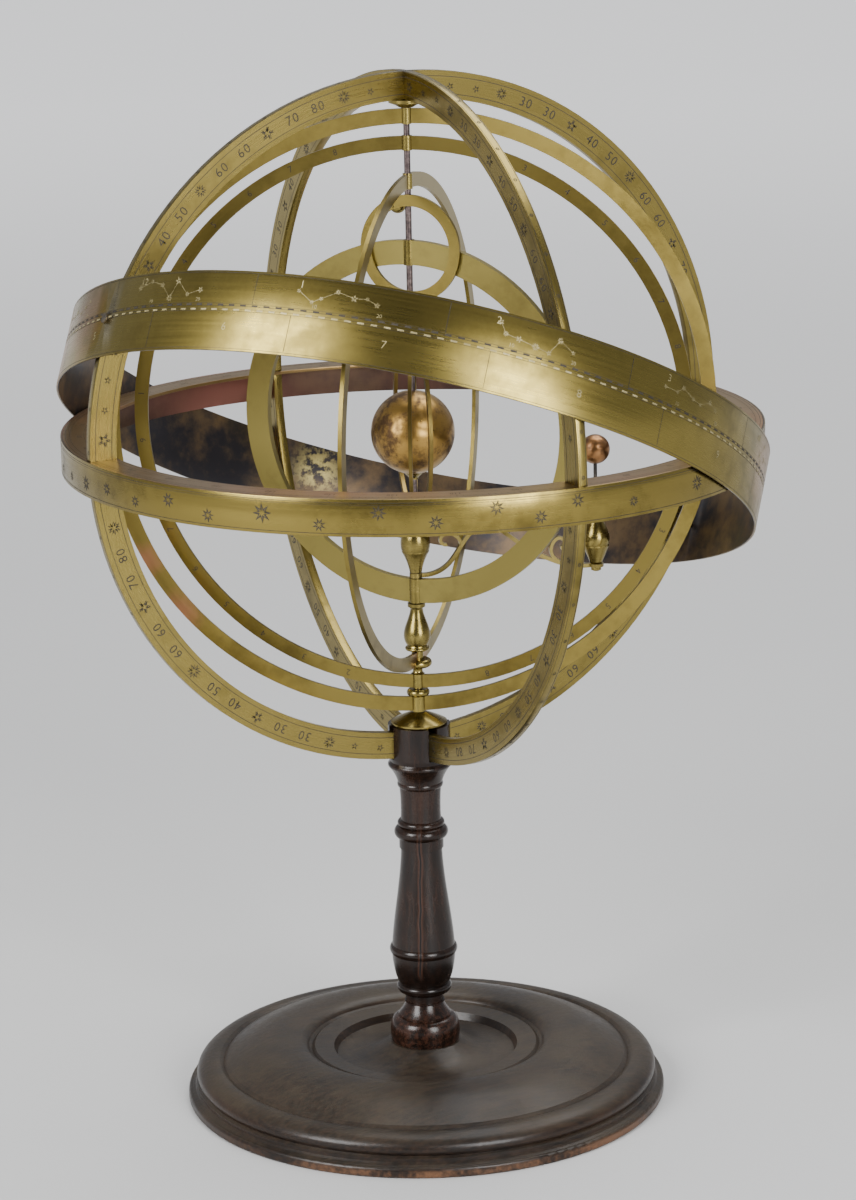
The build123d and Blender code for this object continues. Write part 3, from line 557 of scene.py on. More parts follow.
class Surface:
    """A surface that flat artwork is laid on: x runs along it and y across, in millimetres."""

    def point(self, x: float, y: float, lift: float) -> Vector:
        """The place of the artwork's point, lift millimetres off the surface, in metres."""
        raise NotImplementedError


@dataclass(frozen=True)
class Barrel(Surface):
    """The curved face of a band; x is measured on its radius and y along its axis."""

    ring: Ring
    radius: float

    def point(self, x: float, y: float, lift: float) -> Vector:
        """The place of the artwork's point, in metres."""
        out = self.ring.direction(math.degrees(x / self.radius))
        along = Vector(self.ring.axis) * y
        return Vector(self.ring.centre) + (out * (self.radius + lift) + along) * MM


@dataclass(frozen=True)
class Cheek(Surface):
    """The flat side of a hoop; x is measured on the radius, y outwards from it."""

    ring: Ring
    radius: float
    offset: float
    side: int = 1

    def point(self, x: float, y: float, lift: float) -> Vector:
        """The place of the artwork's point, in metres."""
        out = self.ring.direction(-self.side * math.degrees(x / self.radius))
        face = Vector(self.ring.axis) * (self.offset + self.side * lift)
        return Vector(self.ring.centre) + (out * (self.radius + y) + face) * MM


class Artwork:
    """Flat engraving, drawn piece by piece in millimetres and then laid on a surface."""

    def __init__(self, name: str) -> None:
        """Starts an empty drawing."""
        self.name = name
        self.parts: List[bpy.types.Object] = []
        self.stamps: Dict[Tuple, bpy.types.Mesh] = {}

    def _keep(self, turn: float, x: float, y: float, size: Tuple[float, float] = (1.0, 1.0)) -> None:
        """Applies a place to the active object and adds it to the drawing."""
        made = bpy.context.object
        turned = Matrix.Rotation(math.radians(turn), 4, "Z") @ Matrix.Diagonal((*size, 1, 1))
        made.data.transform(Matrix.Translation((x, y, 0)) @ turned)
        self.parts.append(made)

    def line(self, x0: float, x1: float, y: float, width: float, cells: int) -> None:
        """A line along the surface.

        Args:
            x0: where it starts.
            x1: where it ends.
            y: its place across.
            width: its width.
            cells: the number of pieces it bends in.
        """
        bpy.ops.mesh.primitive_grid_add(x_subdivisions=cells, y_subdivisions=1, size=1.0)
        self._keep(0.0, (x0 + x1) / 2, y, (x1 - x0, width))

    def tick(self, x: float, y0: float, y1: float, width: float) -> None:
        """A line across the surface at x, from y0 to y1."""
        bpy.ops.mesh.primitive_plane_add(size=1.0)
        self._keep(0.0, x, (y0 + y1) / 2, (width, y1 - y0))

    def stroke(self, first: Tuple[float, float], last: Tuple[float, float], width: float) -> None:
        """A straight line from one point to another.

        Args:
            first: where it starts.
            last: where it ends.
            width: its width.
        """
        (x0, y0), (x1, y1) = first, last
        bpy.ops.mesh.primitive_plane_add(size=1.0)
        turn = math.degrees(math.atan2(y1 - y0, x1 - x0))
        self._keep(turn, (x0 + x1) / 2, (y0 + y1) / 2, (math.hypot(x1 - x0, y1 - y0), width))

    def cells(self, x0: float, step: float, count: int, y: float, size: Tuple[float, float]) -> None:
        """A row of filled cells, modelled once and repeated.

        Args:
            x0: the first cell's middle.
            step: the distance from cell to cell.
            count: the number of cells.
            y: the row's place across.
            size: a cell's length and width.
        """
        bpy.ops.mesh.primitive_plane_add(size=1.0)
        made = bpy.context.object
        made.data.transform(Matrix.Diagonal((*size, 1, 1)))
        row = made.modifiers.new("row", "ARRAY")
        row.use_relative_offset = False
        row.use_constant_offset = True
        row.constant_offset_displace = (step, 0, 0)
        row.count = count
        bpy.ops.object.modifier_apply(modifier=row.name)
        self._keep(0.0, x0, y)

    def star(
        self, x: float, y: float, radius: float, points: int, turn: float = 0.0, waist: float = 0.42
    ) -> None:
        """An engraved star: an open outline whose rays are cut deeper on one side.

        Args:
            x: its place along.
            y: its place across.
            radius: its reach.
            points: its number of rays.
            turn: how far it is turned, in degrees.
            waist: the inner corners' share of the radius.
        """
        key = (points, waist)
        if key not in self.stamps:
            bpy.ops.mesh.primitive_circle_add(vertices=2 * points, radius=1.0, fill_type="NGON")
            made = bpy.context.object
            bpy.ops.object.mode_set(mode="EDIT")
            bpy.ops.mesh.select_all(action="DESELECT")
            bpy.ops.object.mode_set(mode="OBJECT")
            for corner in made.data.vertices:
                corner.select = corner.index % 2 == 1
            bpy.ops.object.mode_set(mode="EDIT")
            bpy.ops.mesh.select_mode(type="VERT")
            bpy.ops.transform.resize(value=(waist, waist, 1.0))
            bpy.ops.mesh.select_all(action="SELECT")
            bpy.ops.mesh.inset(thickness=0.085, depth=0.0)
            bpy.ops.mesh.delete(type="FACE")
            bpy.ops.mesh.select_all(action="DESELECT")
            bpy.ops.object.mode_set(mode="OBJECT")
            shade = self._rays(points, waist)
            made.select_set(True)
            bpy.context.view_layer.objects.active = made
            shade.select_set(True)
            bpy.ops.object.join()
            self.stamps[key] = made.data.copy()
            bpy.data.objects.remove(made)
        made = bpy.data.objects.new("star", self.stamps[key].copy())
        bpy.context.collection.objects.link(made)
        bpy.context.view_layer.objects.active = made
        self._keep(turn, x, y, (radius, radius))

    def _rays(self, points: int, waist: float) -> bpy.types.Object:
        """The cut side of each ray, a narrow triangle from the heart's edge to the tip.

        Args:
            points: the number of rays.
            waist: the inner corners' share of the radius.

        Returns:
            The triangles as one object.
        """
        bpy.ops.mesh.primitive_circle_add(vertices=3, radius=1.0, fill_type="NGON")
        made = bpy.context.object
        half = math.pi / points
        places = [(1.0, 0.0), (0.40 * waist, 0.0), (waist * math.cos(half), waist * math.sin(half))]
        for corner, place in zip(made.data.vertices, places):
            corner.co = (*place, 0.0)
        bpy.ops.object.mode_set(mode="EDIT")
        bpy.ops.mesh.select_all(action="SELECT")
        bpy.ops.mesh.spin(steps=points, angle=2 * math.pi, center=(0, 0, 0), axis=(0, 0, 1), dupli=True)
        bpy.ops.mesh.select_all(action="DESELECT")
        bpy.ops.object.mode_set(mode="OBJECT")
        return made

    def figures(self, text: str, x: float, y: float, height: float, spread: float = 1.0) -> None:
        """Plain figures, upright at x.

        Args:
            text: the figures.
            x: the middle of the first line.
            y: the middle across.
            height: their height.
            spread: the spacing of the characters.
        """
        bpy.ops.object.text_add()
        made = bpy.context.object
        made.data.body = text
        made.data.align_x = "CENTER"
        made.data.align_y = "CENTER"
        made.data.size = height * 1.35
        made.data.space_character = spread
        made.data.resolution_u = 2
        made.data.offset = -0.012
        bpy.ops.object.convert(target="MESH")
        self._keep(0.0, x, y)

    def lay(self, surface: Surface, lift: float, finish: bpy.types.Material) -> bpy.types.Object:
        """Joins the drawing, lays it on a surface and gives it a finish.

        Args:
            surface: what it is laid on.
            lift: how far off the surface it lies, in millimetres.
            finish: its material.

        Returns:
            The finished piece, with its place in its mesh.
        """
        bpy.ops.object.select_all(action="DESELECT")
        for part in self.parts:
            part.select_set(True)
        made = self.parts[0]
        bpy.context.view_layer.objects.active = made
        if len(self.parts) > 1:
            bpy.ops.object.join()
        made.name = made.data.name = self.name
        for corner in made.data.vertices:
            corner.co = surface.point(corner.co.x, corner.co.y, lift)
        made.data.materials.clear()
        made.data.materials.append(finish)
        made.select_set(False)
        return made


@dataclass
class Workshop:
    """What every sub-assembly shares: the frame, the sphere's centre and a list of what is done."""

    frame: dict
    centre: float
    done: List[str] = field(default_factory=list)

    def upright(self, height: float = 0.0) -> Ring:
        """The frame of a ring that lies level, height metres above the table."""
        return Ring((0.0, 0.0, height), UP, EAST)

    def hoop(self, angle: float, lift: float = 0.0) -> Ring:
        """The frame of an upright hoop whose plane stands at an angle in degrees."""
        turn = math.radians(angle)
        return Ring(
            (0.0, 0.0, self.centre + lift * MM),
            (math.sin(turn), -math.cos(turn), 0.0),
            (math.cos(turn), math.sin(turn), 0.0),
        )

    def dress(self, node: str, finish: bpy.types.Material, edge: float = 0.0) -> None:
        """Gives a CAD node its material and, where edge is set, rounded edges.

        Args:
            node: the node's name.
            finish: its material.
            edge: the edges' rounding, in millimetres.
        """
        piece = self.frame["nodes"][node]
        piece.data.materials.clear()
        piece.data.materials.append(finish)
        if edge > 0:
            weld = piece.modifiers.new("weld", "WELD")
            weld.merge_threshold = 0.000004
            bevel = piece.modifiers.new("edges", "BEVEL")
            bevel.width = edge * MM
            bevel.segments = 2
            bevel.limit_method = "ANGLE"
            bevel.angle_limit = math.radians(50)
            bevel.harden_normals = False
        self.done.append(node)
        log.info("dressed %s", node)

    def engrave(
        self,
        art: Artwork,
        surface: Surface,
        finish: bpy.types.Material,
        body: str,
        slot: Slot,
        lift: float = INK_LIFT,
    ) -> None:
        """slot: its material slot; not used.
            lift: how far off the surface it lies, in millimetres.
        """
        self.add(art.lay(surface, lift, finish), body, slot)

    def add(self, piece: bpy.types.Object, body: str, slot: Slot) -> None:
        """Makes a new piece ride on a body."""
        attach(piece, body)
        self.done.append(piece.name)
        log.info("added %s on %s", piece.name, body)


@dataclass
class Stand:
    """The turned board and column."""

    shop: Workshop

    def build(self) -> None:
        """Dresses the board and the column."""
        board = DarkWood()
        self.shop.dress("base_disc", board.material("board_wood"))
        column = DarkWood(
            deep=(0.0045, 0.0028, 0.0022),
            warm=(0.019, 0.0088, 0.0052),
            grain=(700.0, 700.0, 40.0),
            crack=True,
        )
        self.shop.dress("column", column.material("column_wood"))


@dataclass
class GreatHoops:
    """The two colures with the equator's flange and band."""

    shop: Workshop
    ink: bpy.types.Material
    radius: float = 148.1
    width: float = 11.6
    thickness: float = 4.0
    band_radius: float = 149.3
    band_top: float = -0.9
    band_height: float = 14.9
    flange_inner: float = 135.7
    star_places: Tuple[Tuple[float, float, float, int], ...] = (
        (-172.9, -8.9, 3.0, 8),
        (-165.0, -10.6, 2.6, 8),
        (-157.4, -7.2, 3.2, 8),
        (-149.6, -11.0, 3.0, 8),
        (-140.1, -7.8, 4.2, 8),
        (-131.0, -11.3, 2.9, 8),
        (-122.0, -6.1, 3.4, 8),
        (-113.4, -10.4, 3.2, 8),
        (-104.2, -5.6, 3.2, 8),
        (-97.3, -10.8, 3.0, 8),
        (-91.2, -5.9, 3.0, 8),
        (-81.1, -9.6, 2.4, 6),
        (-67.1, -8.2, 3.4, 6),
    )

    def build(self) -> None:
        """Dresses the hoops and the equator and engraves them."""
        self.metal()
        for number, (node, angle) in enumerate((("solstice_colure", 0.0), ("equinox_colure", 90.0))):
            ring = self.shop.hoop(angle)
            for side in (1, -1):
                self.cheek(node, ring, side, number)
            self.rim(node, ring, 91 + number)
        self.band()
        self.flange()

    def metal(self) -> None:
        """Gives the hoops, the flange and the band their brass."""
        crossing = Spot((0.0, 0.0, self.shop.centre / MM + self.radius), 7.0, 0.7)
        hoop = Brass(
            clean=(0.246, 0.189, 0.054),
            aged=(0.093, 0.071, 0.019),
            roughness=0.27,
            tarnish=0.5,
            redness=0.25,
            scratch=0.6,
            dark_spots=(crossing,),
        )
        self.shop.dress("solstice_colure", hoop.material("solstice_brass", self.shop.hoop(0.0)), 0.25)
        self.shop.dress("equinox_colure", hoop.material("equinox_brass", self.shop.hoop(90.0)), 0.25)
        level = self.shop.upright()
        flange = Brass(
            clean=(0.235, 0.152, 0.062), aged=(0.135, 0.084, 0.036), roughness=0.34, tarnish=0.5, redness=0.7
        )
        self.shop.dress("equator_flange", flange.material("flange_brass", level), 0.15)
        band = TwoFacedBrass(
            roughness=0.24,
            tarnish=0.6,
            redness=0.10,
            scratch=1.0,
            middle=(self.band_radius - 0.45) * MM,
            inner_dark=(0.035, 0.022, 0.018),
            inner_warm=(0.10, 0.062, 0.036),
            inner_redness=0.6,
        )
        self.shop.dress("equator_band", band.material("equator_brass", level), 0.12)

    def cheek(self, node: str, ring: Ring, side: int, seed: int) -> None:
        """Engraves one flat side of a colure: two border lines, stars and a scale with figures.

        Args:
            node: the hoop's name.
            ring: its frame.
            side: 1 or -1.
            seed: what the marks' places start from.
        """
        middle = self.radius - self.width / 2
        around = 2 * math.pi * middle
        art = Artwork(f"{node}_cheek_{'a' if side > 0 else 'b'}")
        for y in (-3.7, 3.5):
            art.line(0.0, around, y, 0.26, 240)
        dice = random.Random(17 + 5 * seed + side)
        for quarter in range(4):
            for step in range(3, 88, 5):
                x = math.radians(quarter * 90 + step) * middle
                if step % 15 == 3:
                    rays = 5 if step % 2 else 6
                    art.star(x, dice.uniform(-0.4, 0.4), dice.uniform(2.6, 3.3), rays, dice.uniform(0, 60))
                elif 20 < step < 74:
                    art.figures(str(10 * (1 + step // 10)), x, -0.2, 4.3, 1.15)
                else:
                    art.star(x, dice.uniform(-0.8, 0.8), 1.7, 5, dice.uniform(0, 70))
        face = Cheek(ring, middle, side * self.thickness / 2, side)
        self.shop.engrave(art, face, self.ink, CAGE, Slot.HOOP)

    def rim(self, node: str, ring: Ring, seed: int) -> None:
        """Engraves the outer edge of a colure with a border and small stars.

        Args:
            node: the hoop's name.
            ring: its frame.
            seed: what the stars' turns start from.
        """
        art = Artwork(f"{node}_rim")
        around = 2 * math.pi * self.radius
        for y in (-1.45, 1.45):
            art.line(0.0, around, y, 0.16, 240)
        dice = random.Random(seed)
        for step in range(4, 360, 7):
            art.star(math.radians(step) * self.radius, 0.0, 1.05, 6, dice.uniform(0, 60))
        self.shop.engrave(art, Barrel(ring, self.radius), self.ink, CAGE, Slot.HOOP)

    def band(self) -> None:
        """Engraves the equator's band: border lines and eight-rayed stars."""
        level = self.shop.upright(self.shop.centre)
        art = Artwork("equator_stars")
        around = 2 * math.pi * self.band_radius
        top, foot = self.band_top, self.band_top - self.band_height
        for y, width in ((top - 1.3, 0.2), (top - 2.2, 0.12), (foot + 1.2, 0.2)):
            art.line(0.0, around, y, width, ROUND)
        dice = random.Random(4)
        for angle, height, reach, rays in self.star_places:
            art.star(math.radians(angle) * self.band_radius, height, reach, rays, dice.uniform(0, 45))
        for step in range(34):
            x = math.radians(-58.0 + step * 7.2) * self.band_radius
            height = dice.uniform(-11.4, -6.0)
            art.star(x, height, dice.uniform(2.3, 3.4), 8, dice.uniform(0, 45))
        self.shop.engrave(art, Barrel(level, self.band_radius), self.ink, CAGE, Slot.SHEET)

    def flange(self) -> None:
        """Engraves the flange's upper face: border lines and a degree scale."""
        middle = (self.flange_inner + self.radius) / 2
        level = self.shop.upright(self.shop.centre)
        around = 2 * math.pi * middle
        art = Artwork("equator_scale")
        for y, width in ((-5.2, 0.2), (5.3, 0.2), (3.4, 0.14), (-2.6, 0.14)):
            art.line(0.0, around, y, width, ROUND)
        step = around / 360
        for degree in range(360):
            long = 5.0 if degree % 10 == 0 else (4.4 if degree % 5 == 0 else 4.1)
            low = 1.2 if degree % 10 == 0 else (2.3 if degree % 5 == 0 else 2.7)
            art.tick(degree * step, low, long, 0.14)
        for ten in range(36):
            if (ten * 10) % 90 != 0:
                art.figures(str(ten * 10), ten * 10 * step, -0.7, 2.2, 1.1)
        self.shop.engrave(art, Cheek(level, middle, self.band_top), self.ink, CAGE, Slot.SHEET)


@dataclass
class Zodiac:
    """The wide tilted band with its scale, twelve signs' places and months' places."""

    shop: Workshop
    pale: bpy.types.Material
    ink: bpy.types.Material
    radius: float = 150.9
    wall: float = 0.9
    width: float = 33.0
    tilt: float = 28.3
    high: float = -144.0
    drop: float = 3.0
    scale_height: float = 1.2
    first_sign: float = 29.5
    first_month: float = 6.2
    month: float = 30.4

    def ring(self) -> Ring:
        """The band's own frame, which starts at its high point."""
        tilt, high = math.radians(self.tilt), math.radians(self.high)
        axis = (-math.sin(tilt) * math.cos(high), -math.sin(tilt) * math.sin(high), math.cos(tilt))
        start = (math.cos(tilt) * math.cos(high), math.cos(tilt) * math.sin(high), math.sin(tilt))
        return Ring((0.0, 0.0, self.shop.centre - self.drop * MM), axis, start)

    def spot(self, angle: float, height: float, radius: float, strength: float = 1.0) -> Spot:
        """A place on the band, given by its angle and its height across the band."""
        ring = self.ring()
        point = Vector(ring.centre) / MM + ring.direction(angle) * self.radius + Vector(ring.axis) * height
        return Spot(tuple(point), radius, strength)

    def build(self) -> None:
        """Dresses the band and engraves it."""
        ring = self.ring()
        brass = TwoFacedBrass(
            clean=(0.235, 0.183, 0.049),
            aged=(0.093, 0.071, 0.018),
            roughness=0.27,
            tarnish=0.6,
            redness=0.05,
            scratch=0.8,
            middle=(self.radius - self.wall / 2) * MM,
            patches=(
                self.spot(-40.0, 4.0, 22.0, 0.45),
                self.spot(-57.0, -4.0, 30.0, 0.55),
                self.spot(104.0, 4.0, 26.0, 0.4),
                self.spot(118.0, 0.0, 26.0, 0.5),
            ),
            rubbed=(self.spot(-137.1, 6.6, 15.0),),
        )
        self.shop.dress("zodiac_band", brass.material("zodiac_brass", ring), 0.12)
        solder = PlainMetal((0.20, 0.20, 0.21), (0.42, 0.42, 0.43), 0.42)
        self.shop.dress("zodiac_solder", solder.material("zodiac_solder_grey"))
        iron = PlainMetal((0.05, 0.045, 0.04), (0.16, 0.13, 0.09), 0.45)
        self.shop.dress("zodiac_screws", iron.material("screw_iron"))
        self.borders(ring)
        self.scale(ring)

    def borders(self, ring: Ring) -> None:
        """Engraves the border lines and the lines that part signs and months."""
        around = 2 * math.pi * self.radius
        art = Artwork("zodiac_borders")
        for y in (self.width / 2 - 0.9, -self.width / 2 + 0.9):
            art.line(0.0, around, y, 0.16, ROUND)
        for sign in range(12):
            x = math.radians(self.first_sign + 30 * sign) * self.radius
            art.tick(x, self.scale_height + 1.6, self.width / 2 - 1.2, 0.2)
            x = math.radians(self.first_month + self.month * sign) * self.radius
            art.tick(x, -self.width / 2 + 1.2, self.scale_height - 1.6, 0.2)
        self.shop.engrave(art, Barrel(ring, self.radius), self.ink, CAGE, Slot.SHEET)

    def scale(self, ring: Ring) -> None:
        """Engraves the chequered scale of days and degrees, with star groups and figures."""
        around = 2 * math.pi * self.radius
        step = around / 180
        height = self.scale_height
        dark = Artwork("zodiac_scale")
        for y in (-1.55, -0.6, 0.6, 1.55):
            dark.line(0.0, around, height + y, 0.13, ROUND)
        dark.cells(0.0, step, 180, height + 0.95, (step / 2, 0.7))
        face = Barrel(ring, self.radius)
        self.shop.engrave(dark, face, self.ink, CAGE, Slot.SHEET, 0.04)
        light = Artwork("zodiac_marks")
        light.cells(step / 2, step, 180, height - 0.95, (step / 2, 0.7))
        dice = random.Random(12)
        for sign in range(12):
            middle = 14.5 + 30 * sign
            self.cluster(light, middle - 1.5, 8.8, dice)
            light.figures(str(sign + 1), math.radians(middle - 7.5) * self.radius, 12.6, 3.2)
            x = math.radians(21.0 + self.month * sign) * self.radius
            light.figures(str((sign + 6) % 12 + 1), x, -6.8, 3.4)
            for ten in (1, 2):
                x = math.radians(self.first_sign + 30 * sign + 10 * ten) * self.radius
                light.figures(str(10 * ten), x, height + 3.0, 1.7)
        self.shop.engrave(light, face, self.pale, CAGE, Slot.SHEET, 0.05)

    def cluster(self, art: Artwork, angle: float, height: float, dice: random.Random) -> None:
        """Draws a group of stars joined by fine lines, in a sign's place.

        Args:
            art: the drawing.
            angle: the middle of the group.
            height: its place across the band.
            dice: where its stars fall.
        """
        places = []
        for n in range(7):
            along = math.radians(angle + dice.uniform(-0.6, 0.6) + 2.1 * (n - 3))
            places.append((along * self.radius, height + dice.uniform(-4.0, 4.0)))
        for n, (x, y) in enumerate(places):
            art.star(x, y, dice.uniform(0.9, 1.7), 6 if n % 2 else 5, dice.uniform(0, 60))
        for first, last in zip(places, places[1:]):
            art.stroke(first, last, 0.14)


@dataclass(frozen=True)
class Hoop:
    """One planet hoop: the stem of its nodes' names, its body and its place."""

    stem: str
    body: str
    radius: float
    width: float
    thickness: float
    angle: float
    lift: float
    brass: Brass
    marks: int = 0


@dataclass
class PlanetHoops:
    """The six turning hoops with their sleeves, the lunar ring and the Moon."""

    shop: Workshop
    ink: bpy.types.Material

    def hoops(self) -> Iterable[Hoop]:
        """The hoops from the outermost inwards."""
        centre = self.shop.centre / MM
        saturn = Brass(
            roughness=0.30,
            tarnish=0.6,
            patches=self.on_hoop(157.8, 130.3, 2.2, ((-27.0, 9.0), (-39.0, 11.0))),
        )
        mars = Brass(roughness=0.31, tarnish=0.5, patches=(Spot((0.0, 0.0, centre - 104.0), 16.0, 0.6),))
        plain = Brass(roughness=0.30, tarnish=0.5)
        satin = Brass(clean=(0.215, 0.173, 0.051), aged=(0.106, 0.084, 0.025), roughness=0.38, tarnish=0.4)
        warm = Brass(clean=(0.256, 0.178, 0.054), roughness=0.28)
        yield Hoop("saturn", "saturn_orbit", 130.3, 6.3, 1.6, 157.8, 2.2, saturn)
        yield Hoop("jupiter", "jupiter_orbit", 119.4, 5.8, 1.6, 147.4, 1.6, plain, 9)
        yield Hoop("mars", "mars_orbit", 106.3, 6.1, 1.7, -132.7, -1.2, mars)
        yield Hoop("earth_orbit", "earth_orbit", 78.4, 10.3, 3.3, 128.6, -1.2, satin)
        yield Hoop("venus", "venus_orbit", 44.3, 3.1, 1.6, -106.7, -0.9, warm)
        yield Hoop("mercury", "mercury_orbit", 36.5, 3.0, 1.6, -118.6, -4.4, warm)

    def on_hoop(
        self, angle: float, radius: float, lift: float, places: Iterable[Tuple[float, float]]
    ) -> Tuple[Spot, ...]:
        """Spots on a hoop.

        Args:
            angle: the hoop's plane.
            radius: its radius.
            lift: its centre above the sphere's.
            places: each spot's turn round the hoop and its radius.

        Returns:
            The spots.
        """
        ring = self.shop.hoop(angle, lift)
        spots = []
        for turn, reach in places:
            point = Vector(ring.centre) / MM + ring.direction(turn) * radius
            spots.append(Spot(tuple(point), reach, 0.9))
        return tuple(spots)

    def build(self) -> None:
        """Dresses the hoops, their sleeves and the Moon."""
        bright = Brass(clean=(0.256, 0.200, 0.058), aged=(0.093, 0.071, 0.020), roughness=0.24, tarnish=0.5)
        for hoop in self.hoops():
            ring = self.shop.hoop(hoop.angle, hoop.lift)
            self.shop.dress(f"{hoop.stem}_ring", hoop.brass.material(f"{hoop.stem}_brass", ring))
            for end in ("upper", "lower"):
                name = f"{hoop.stem}_{end}_sleeve"
                self.shop.dress(name, bright.material(f"{name}_brass", self.shop.upright()))
            if hoop.marks:
                self.engrave(hoop, ring)
        tilted = self.shop.hoop(128.6, 71.7)
        self.shop.dress("lunar_ring", Brass(roughness=0.33, tarnish=0.4).material("lunar_brass", tilted))
        self.shop.dress("moon_ball", bright.material("moon_brass", self.shop.upright()))

    def engrave(self, hoop: Hoop, ring: Ring) -> None:
        """Punches small figures along both sides of a hoop."""
        middle = hoop.radius - hoop.width / 2
        for side in (1, -1):
            art = Artwork(f"{hoop.stem}_figures_{'a' if side > 0 else 'b'}")
            for n in range(hoop.marks * 4):
                turn = 5 + n * 360 / (hoop.marks * 4)
                if abs(turn % 180 - 90) > 6:
                    art.figures(str(n % 9 + 1), math.radians(turn) * middle, 0.0, 2.8)
            face = Cheek(ring, middle, side * hoop.thickness / 2, side)
            self.shop.engrave(art, face, self.ink, hoop.body, Slot.HOOP)


@dataclass
class PolarColumn:
    """The rod, the Sun and the turned pieces between the hoops."""

    shop: Workshop
    sun_drop: float = 5.1
    pieces: Tuple[str, ...] = (
        "top_boss",
        "sun_collar",
        "pole_disc",
        "jupiter_collar",
        "jupiter_spool",
        "baluster",
        "lower_cone",
        "upper_bulb",
    )

    def build(self) -> None:
        """Dresses the rod and what is threaded on it."""
        rod = PlainMetal((0.060, 0.045, 0.045), (0.17, 0.13, 0.12), 0.42, 0.85, 500.0)
        self.shop.dress("axis_rod", rod.material("rod_iron"))
        sun = self.shop.upright(self.shop.centre - self.sun_drop * MM)
        self.shop.dress("sun_ball", Gilt().material("sun_gilt", sun))
        for node in self.pieces:
            self.shop.dress(node, TURNED_BRASS.material(f"{node}_brass", self.shop.upright()))


@dataclass
class EarthArm:
    """The scrolled arm with the Earth on its pivot."""

    shop: Workshop
    angle: float = -17.6
    reach: float = 79.0

    def build(self) -> None:
        """Dresses the arm, its cones and the ball."""
        strip = Brass(clean=(0.235, 0.183, 0.058), roughness=0.30, tarnish=0.4)
        self.shop.dress("earth_arm", strip.material("arm_brass", self.shop.upright()))
        angle, reach = math.radians(self.angle), self.reach * MM
        pivot = Ring((reach * math.cos(angle), reach * math.sin(angle), 0.0), UP, EAST)
        for node in ("earth_lower_cone", "earth_upper_cone", "arm_nut"):
            self.shop.dress(node, TURNED_BRASS.material(f"{node}_brass", pivot))
        dark = PlainMetal((0.03, 0.027, 0.025), (0.08, 0.07, 0.06), 0.4)
        self.shop.dress("earth_spindle", dark.material("spindle_iron"))
        earth = Gilt(gold=(0.30, 0.150, 0.060), ground=(0.09, 0.045, 0.022))
        self.shop.dress("earth_ball", earth.material("earth_gilt", pivot))


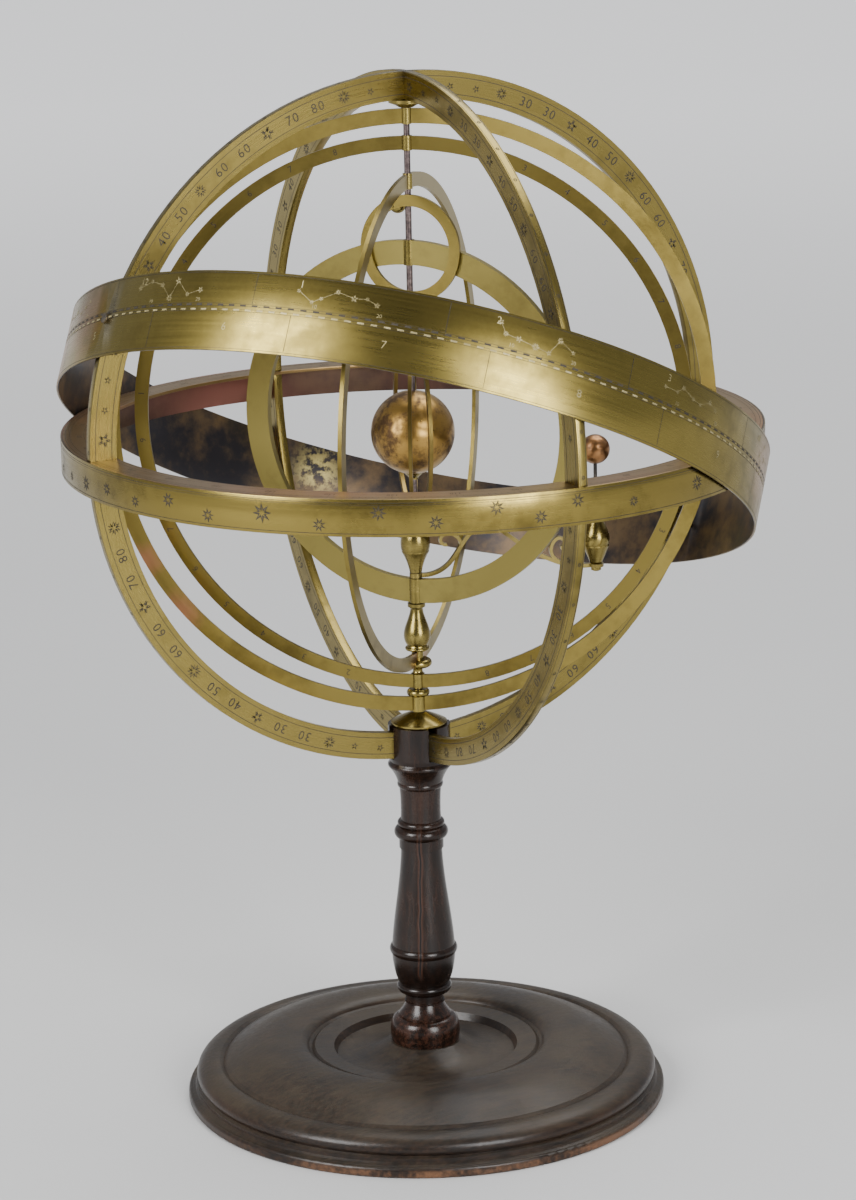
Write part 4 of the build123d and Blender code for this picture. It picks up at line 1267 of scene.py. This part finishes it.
@dataclass
class Studio:
    """The pale table, the soft lights and the camera."""

    target: Vector
    floor_grey: float = 0.50
    far_glow: Colour = (0.86, 0.865, 0.88)
    distance: float = 1.5750
    rise: float = 0.32095
    yaw: float = 0.1818
    pitch: float = 14.248
    roll: float = -1.1537
    focal_pixels: float = 3777.9
    picture_height: float = 1200.0
    sensor: float = 36.0

    @property
    def plan(self) -> Matrix:
        """The turn from the camera's own frame to the object's."""
        return Matrix.Rotation(math.radians(PLAN_TURN), 3, "Z")

    def build(self) -> None:
        """Sets the whole studio up."""
        self.floor()
        self.surroundings()
        self.light("left_softbox", -48.0, 24.0, 1.7, (0.75, 1.0), 46.0)
        self.light("right_softbox", 30.0, 15.0, 1.7, (0.65, 1.0), 34.0)
        self.light("overhead_softbox", 150.0, 66.0, 1.9, (1.6, 1.6), 42.0)
        self.camera()

    def floor(self) -> None:
        """Lays the table out to the horizon."""
        bpy.ops.mesh.primitive_circle_add(vertices=64, radius=14.0, fill_type="NGON")
        table = bpy.context.object
        table.name = "table"
        shader = Shader("table_paper")
        cloud = shader.noise(1.4, 2.0)
        grey = self.floor_grey
        shade = (grey * 0.97, grey * 0.972, grey * 0.975)
        colour = shader.mix(cloud.ramp(0.3, 0.7), (grey, grey, grey * 0.99), shade)
        reach = shader.length(shader.place())
        glow = shader.mix(reach.ramp(0.1, 3.8), (0.0, 0.0, 0.0), self.far_glow)
        surface = shader.finish(Base_Color=colour, Roughness=0.6, Emission_Color=glow, Emission_Strength=1.0)
        table.data.materials.append(surface)

    def surroundings(self) -> None:
        """Gives the room a soft grey light, dim on the side that the photograph is taken from."""
        world = bpy.data.worlds.new("studio")
        bpy.context.scene.world = world
        world.use_nodes = True
        tree = world.node_tree
        sky = tree.nodes["Background"]
        sky.inputs["Strength"].default_value = 0.46
        way = tree.nodes.new("ShaderNodeTexCoord").outputs["Generated"]
        along = tree.nodes.new("ShaderNodeVectorMath")
        along.operation = "DOT_PRODUCT"
        along.inputs[1].default_value = self.plan @ Vector((0.0, -1.0, 0.25))
        tree.links.new(way, along.inputs[0])
        ramp = tree.nodes.new("ShaderNodeValToRGB")
        ramp.color_ramp.elements[0].position = 0.15
        ramp.color_ramp.elements[0].color = (0.98, 1.0, 1.04, 1.0)
        ramp.color_ramp.elements[1].position = 0.85
        ramp.color_ramp.elements[1].color = (0.13, 0.13, 0.14, 1.0)
        tree.links.new(along.outputs["Value"], ramp.inputs["Fac"])
        tree.links.new(ramp.outputs["Color"], sky.inputs["Color"])

    def light(
        self,
        name: str,
        azimuth: float,
        elevation: float,
        distance: float,
        size: Tuple[float, float],
        power: float,
    ) -> None:
        """Hangs a softbox.

        Args:
            name: its name.
            azimuth: its angle from the camera's axis, to the right, in degrees.
            elevation: its angle above the level of the sphere, in degrees.
            distance: how far it is from the sphere, in metres.
            size: its width and height in metres.
            power: its power in watts.
        """
        turn, rise = math.radians(azimuth), math.radians(elevation)
        level = math.cos(rise)
        way = self.plan @ Vector((math.sin(turn) * level, -math.cos(turn) * level, math.sin(rise)))
        lamp = bpy.data.lights.new(name, "AREA")
        lamp.shape = "RECTANGLE"
        lamp.size, lamp.size_y = size
        lamp.energy = power
        thing = bpy.data.objects.new(name, lamp)
        bpy.context.collection.objects.link(thing)
        thing.location = self.target + way * distance
        thing.rotation_euler = (-way).to_track_quat("-Z", "Y").to_euler()

    def camera(self) -> None:
        """Puts the camera where the photograph was taken from."""
        yaw, pitch, roll = (math.radians(angle) for angle in (self.yaw, self.pitch, self.roll))
        forward = Vector((math.sin(yaw) * math.cos(pitch), math.cos(yaw) * math.cos(pitch), -math.sin(pitch)))
        right = Vector((math.cos(yaw), -math.sin(yaw), 0.0))
        up = right.cross(forward)
        across = right * math.cos(roll) + up * math.sin(roll)
        above = up * math.cos(roll) - right * math.sin(roll)
        place = self.plan @ Vector((0.0, -self.distance, self.rise)) + self.target
        axes = [self.plan @ axis for axis in (across, above, -forward)]
        data = bpy.data.cameras.new("camera")
        data.sensor_width = self.sensor
        data.lens = self.focal_pixels * self.sensor / self.picture_height
        data.clip_start, data.clip_end = 0.05, 60.0
        eye = bpy.data.objects.new("camera", data)
        bpy.context.collection.objects.link(eye)
        turned = Matrix(axes).transposed().to_4x4()
        eye.matrix_world = Matrix.Translation(place) @ turned
        bpy.context.scene.camera = eye


def main() -> None:
    """Builds the looks of the whole instrument and the studio round it."""
    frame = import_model()
    bpy.ops.object.select_all(action="DESELECT")
    low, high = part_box("solstice_colure")
    shop = Workshop(frame, (low.z + high.z) / 2)
    log.info("the sphere's centre is %.4f m above the table", shop.centre)
    ink = PlainMetal((0.010, 0.007, 0.004), (0.028, 0.020, 0.009), 0.6, 0.1).material("engraved_dark")
    pale = PlainMetal((0.24, 0.20, 0.09), (0.36, 0.31, 0.16), 0.5, 0.6).material("engraved_pale")
    Stand(shop).build()
    GreatHoops(shop, ink).build()
    Zodiac(shop, pale, ink).build()
    PlanetHoops(shop, ink).build()
    PolarColumn(shop).build()
    EarthArm(shop).build()
    Studio(Vector((0.0, 0.0, shop.centre))).build()
    missing = sorted(set(frame["nodes"]) - set(shop.done))
    if missing:
        log.warning("nodes without a finish: %s", missing)


if __name__ == "__main__":
    logging.basicConfig(level=logging.INFO)
    main()
